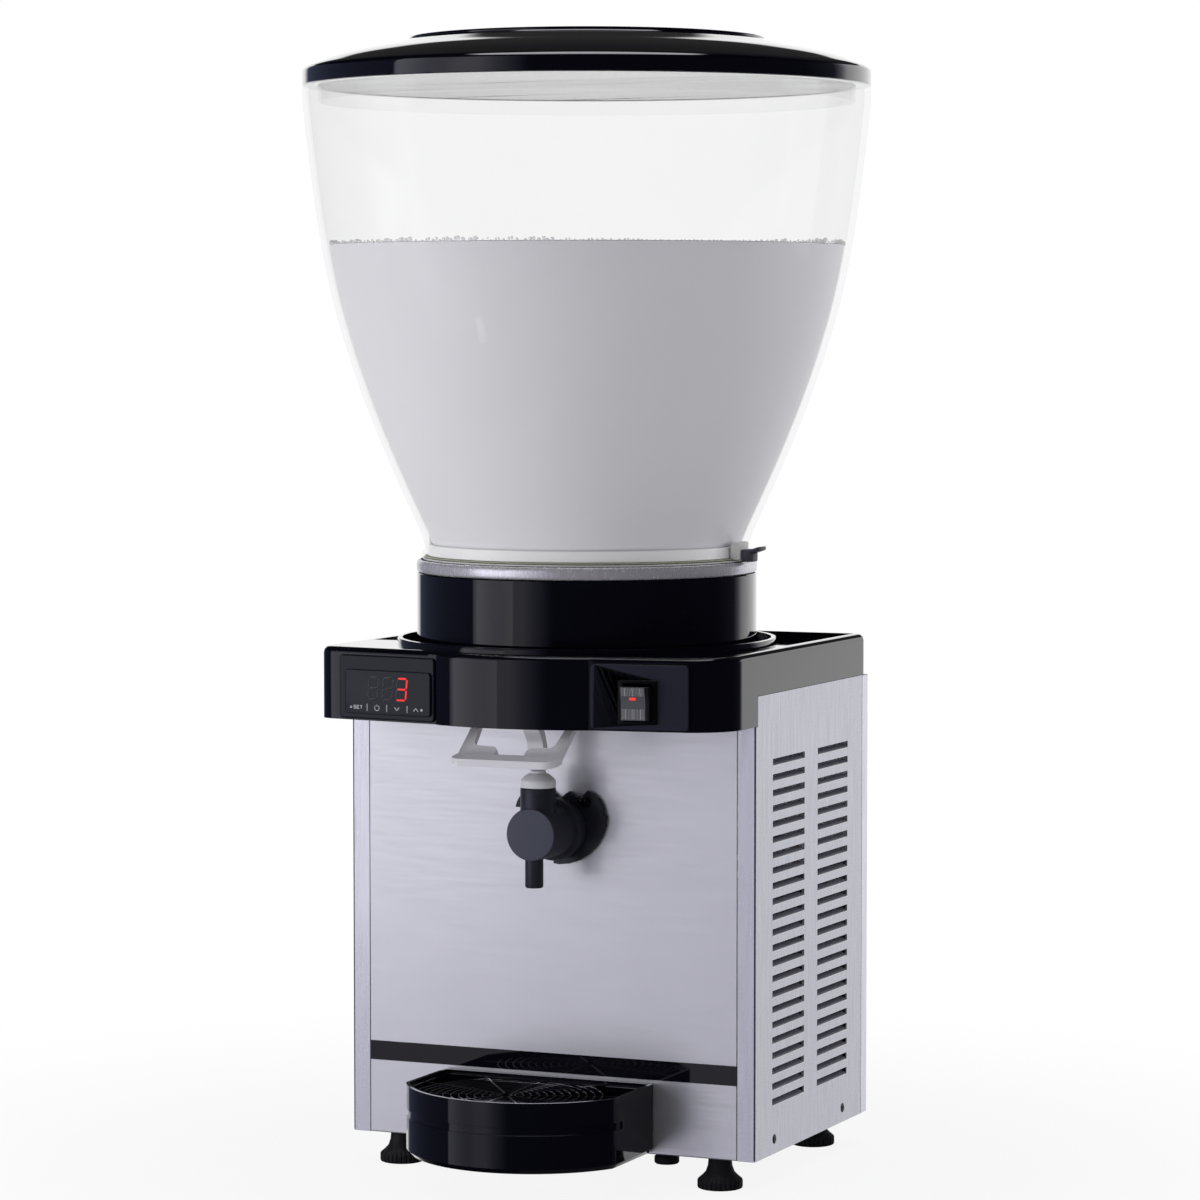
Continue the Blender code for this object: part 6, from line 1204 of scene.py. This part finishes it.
class DISPENSER_OT_stage(bpy.types.Operator):
    """White floor, lamps and the camera"""

    bl_idname = "dispenser.stage"
    bl_label = "Stage"

    def execute(self, context):
        look = context.scene.studio_look
        quiet()
        bpy.ops.mesh.primitive_plane_add(size=12.0, location=(0, 0, 0))
        floor = bpy.context.object
        floor.name = "floor"
        settle(floor)
        floor.data.materials.append(self.floor_finish())
        self.air(context, look)
        for name, power, size, place, aim in (
                ("lamp_left", look.left_power, 1.0, (-1.60, -0.75, 0.75), (0, 0, 0.5)),
                ("lamp_near", look.near_power, 0.3, (-0.75, -0.55, 0.45), (-0.1, -0.06, 0.2)),
                ("lamp_card", look.card_power, 0.62, (-0.78, -0.98, 0.30), (-0.1, -0.06, 0.2)),
                ("lamp_low", look.low_power, 0.08, (-0.47, -0.94, 0.09), (0, -0.06, 0.24)),
                ("lamp_right", look.right_power, 0.8, (1.50, 1.00, 0.70), (0, 0, 0.5)),
                ("lamp_top", look.top_power, 1.0, (0.0, 0.1, 2.2), (0, 0, 0.4))):
            quiet()
            bpy.ops.object.light_add(type="AREA", location=place)
            lamp = bpy.context.object
            lamp.name = name
            lamp.data.energy = power
            lamp.data.size = size
            lamp.visible_glossy = name == "lamp_card"
            lamp.rotation_euler = (Vector(aim) - Vector(place)).to_track_quat("-Z", "Y").to_euler()
        bpy.ops.object.camera_add(location=(1.2273, -2.7576, 0.5790),
                                  rotation=(math.radians(86.444), 0, math.radians(23.82)))
        camera = bpy.context.object
        camera.data.lens = look.lens
        camera.data.sensor_width = 36.0
        camera.data.sensor_fit = "HORIZONTAL"
        camera.data.clip_end = 50.0
        context.scene.camera = camera
        context.scene.view_settings.view_transform = "Standard"
        return {"FINISHED"}

    @staticmethod
    def floor_finish():
        """White floor that keeps a soft shadow near the object and is left out of reflections."""
        finish, nodes, links, main = shader("floor_white", (0.90, 0.90, 0.90), 0.9)
        main.inputs["Specular IOR Level"].default_value = 0.0
        rays = nodes.new("ShaderNodeLightPath")
        place = nodes.new("ShaderNodeTexCoord")
        away = nodes.new("ShaderNodeVectorMath")
        away.operation = "LENGTH"
        links.new(place.outputs["Object"], away.inputs[0])
        fade = nodes.new("ShaderNodeMapRange")
        fade.interpolation_type = "SMOOTHSTEP"
        for key, value in (("From Min", 0.25), ("From Max", 0.75), ("To Min", 0.88), ("To Max", 1.0)):
            fade.inputs[key].default_value = value
        links.new(away.outputs["Value"], fade.inputs["Value"])
        shine = nodes.new("ShaderNodeEmission")
        mix = nodes.new("ShaderNodeMixShader")
        seen = nodes.new("ShaderNodeMath")
        seen.operation = "ADD"
        seen.use_clamp = True
        links.new(rays.outputs["Is Camera Ray"], seen.inputs[0])
        links.new(rays.outputs["Is Transmission Ray"], seen.inputs[1])
        share = nodes.new("ShaderNodeMath")
        share.operation = "MULTIPLY"
        links.new(seen.outputs[0], share.inputs[0])
        links.new(fade.outputs["Result"], share.inputs[1])
        links.new(share.outputs[0], mix.inputs["Fac"])
        links.new(main.outputs[0], mix.inputs[1])
        links.new(shine.outputs[0], mix.inputs[2])
        through = nodes.new("ShaderNodeBsdfTransparent")
        last = nodes.new("ShaderNodeMixShader")
        links.new(rays.outputs["Is Glossy Ray"], last.inputs["Fac"])
        links.new(mix.outputs[0], last.inputs[1])
        links.new(through.outputs[0], last.inputs[2])
        links.new(last.outputs[0], nodes["Material Output"].inputs["Surface"])
        return finish

    @staticmethod
    def air(context, look):
        """Even light from all sides; shiny faces see pale cards at the left and above, and white behind."""
        world = bpy.data.worlds.new("studio_air")
        context.scene.world = world
        world.use_nodes = True
        nodes, links = world.node_tree.nodes, world.node_tree.links
        nodes.clear()
        out = nodes.new("ShaderNodeOutputWorld")
        rays = nodes.new("ShaderNodeLightPath")
        place = nodes.new("ShaderNodeTexCoord")
        split = nodes.new("ShaderNodeSeparateXYZ")
        links.new(place.outputs["Generated"], split.inputs[0])

        def along(direction):
            product = nodes.new("ShaderNodeVectorMath")
            product.operation = "DOT_PRODUCT"
            product.inputs[1].default_value = direction
            links.new(place.outputs["Generated"], product.inputs[0])
            return product.outputs["Value"]

        def calculate(operation, *values):
            node = nodes.new("ShaderNodeMath")
            node.operation = operation
            for socket, value in zip(node.inputs, values):
                if isinstance(value, float):
                    socket.default_value = value
                else:
                    links.new(value, socket)
            return node.outputs[0]

        def step(value, low, high, first, last):
            node = nodes.new("ShaderNodeMapRange")
            node.interpolation_type = "SMOOTHSTEP"
            for key, number in zip(("From Min", "From Max", "To Min", "To Max"), (low, high, first, last)):
                node.inputs[key].default_value = number
            links.new(value, node.inputs["Value"])
            return node.outputs["Result"]

        turn = calculate("ARCTAN2", along(TO_RIGHT), along(TO_CAMERA))
        ramp = nodes.new("ShaderNodeValToRGB")
        stops = ((-180, (1, 1, 1)), (-159, (1, 1, 1)), (-152, (0.07, 0.08, 0.13)),
                 (-82.5, (0.05, 0.06, 0.10)),
                 (-81.5, (1.1, 1.08, 1.25)), (-76, (0.95, 0.94, 1.12)), (-66, (0.62, 0.61, 0.76)),
                 (-58, (0.60, 0.59, 0.70)), (-52, (0.80, 0.79, 0.87)), (-44, (0.80, 0.79, 0.87)),
                 (-36, (0.40, 0.39, 0.50)), (-27, (0.11, 0.11, 0.17)), (-23, (0.012, 0.012, 0.020)),
                 (98, (0.012, 0.012, 0.020)), (118, (0.05, 0.05, 0.07)), (124, (0.35, 0.35, 0.40)),
                 (129, (0.95, 0.95, 0.98)), (136, (1, 1, 1)), (180, (1, 1, 1)))
        while len(ramp.color_ramp.elements) < len(stops):
            ramp.color_ramp.elements.new(0.5)
        for stop, (angle, colour) in zip(ramp.color_ramp.elements, stops):
            stop.position = (angle + 180) / 360
            stop.color = (*colour, 1.0)
        links.new(calculate("MULTIPLY_ADD", turn, 0.5 / math.pi, 0.5), ramp.inputs["Fac"])
        low = calculate("MULTIPLY", step(split.outputs["Z"], -0.21, -0.07, 0.82, 1.0),
                        step(split.outputs["Z"], -0.50, -0.30, 0.05, 1.0))
        cut = step(along(TO_CAMERA), -0.3, 0.3, 0.29, 0.46)
        high = step(calculate("SUBTRACT", split.outputs["Z"], cut), -0.02, 0.02, 1.0, 0.03)
        shine = nodes.new("ShaderNodeMix")
        shine.data_type = "RGBA"
        shine.blend_type = "MULTIPLY"
        shine.inputs["Factor"].default_value = 1.0
        links.new(ramp.outputs["Color"], shine.inputs["A"])
        links.new(calculate("MULTIPLY", low, high), shine.inputs["B"])
        even = nodes.new("ShaderNodeMix")
        even.data_type = "RGBA"
        even.inputs["A"].default_value = (look.air_level, look.air_level, look.air_level * 1.03, 1.0)
        straight = calculate("LESS_THAN", rays.outputs["Diffuse Depth"], 0.5)
        links.new(calculate("MULTIPLY", rays.outputs["Is Glossy Ray"], straight), even.inputs["Factor"])
        above = nodes.new("ShaderNodeMix")
        above.data_type = "RGBA"
        above.inputs["B"].default_value = (4.0, 4.0, 4.2, 1.0)
        links.new(step(split.outputs["Z"], 0.90, 0.93, 0.0, 1.0), above.inputs["Factor"])
        links.new(shine.outputs["Result"], above.inputs["A"])
        links.new(above.outputs["Result"], even.inputs["B"])
        last = nodes.new("ShaderNodeMix")
        last.data_type = "RGBA"
        last.inputs["B"].default_value = (1, 1, 1, 1)
        seen = calculate("ADD", rays.outputs["Is Camera Ray"], rays.outputs["Is Transmission Ray"])
        links.new(calculate("MULTIPLY", seen, straight), last.inputs["Factor"])
        links.new(even.outputs["Result"], last.inputs["A"])
        back = nodes.new("ShaderNodeBackground")
        links.new(last.outputs["Result"], back.inputs["Color"])
        links.new(back.outputs[0], out.inputs["Surface"])


class DISPENSER_PT_panel(bpy.types.Panel):
    """Buttons and sizes of the dispenser"""

    bl_idname = "DISPENSER_PT_panel"
    bl_label = "Drink Dispenser"
    bl_space_type = "VIEW_3D"
    bl_region_type = "UI"
    bl_category = "Dispenser"

    def draw(self, context):
        for operator in OPERATORS:
            self.layout.operator(operator.bl_idname)
        for name in LOOKS:
            group = getattr(context.scene, name)
            for key in group.__annotations__:
                self.layout.prop(group, key)


LOOKS = {"bowl_look": BowlLook, "cabinet_look": CabinetLook, "hood_look": HoodLook, "tap_look": TapLook,
         "studio_look": StudioLook}
OPERATORS = (DISPENSER_OT_finishes, DISPENSER_OT_bowl, DISPENSER_OT_drink, DISPENSER_OT_lid,
             DISPENSER_OT_seat, DISPENSER_OT_cabinet, DISPENSER_OT_hood, DISPENSER_OT_display,
             DISPENSER_OT_switch, DISPENSER_OT_tap, DISPENSER_OT_tray, DISPENSER_OT_feet, DISPENSER_OT_stage)


def register():
    """Registers the sizes, the operators and the panel."""
    for name, group in LOOKS.items():
        bpy.utils.register_class(group)
        setattr(bpy.types.Scene, name, bpy.props.PointerProperty(type=group))
    for operator in OPERATORS:
        bpy.utils.register_class(operator)
    bpy.utils.register_class(DISPENSER_PT_panel)


def unregister():
    """Removes what register added."""
    bpy.utils.unregister_class(DISPENSER_PT_panel)
    for operator in reversed(OPERATORS):
        bpy.utils.unregister_class(operator)
    for name, group in LOOKS.items():
        delattr(bpy.types.Scene, name)
        bpy.utils.unregister_class(group)


def main():
    """Makes every piece in order."""
    register()
    make_finishes(bpy.context.scene)
    bpy.ops.dispenser.finishes()
    bpy.ops.dispenser.bowl()
    bpy.ops.dispenser.drink()
    bpy.ops.dispenser.lid()
    bpy.ops.dispenser.seat()
    bpy.ops.dispenser.cabinet()
    bpy.ops.dispenser.hood()
    bpy.ops.dispenser.display()
    bpy.ops.dispenser.switch()
    bpy.ops.dispenser.tap()
    bpy.ops.dispenser.tray()
    bpy.ops.dispenser.feet()
    bpy.ops.dispenser.stage()
    quiet()
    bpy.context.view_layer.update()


if __name__ == "__main__":
    main()
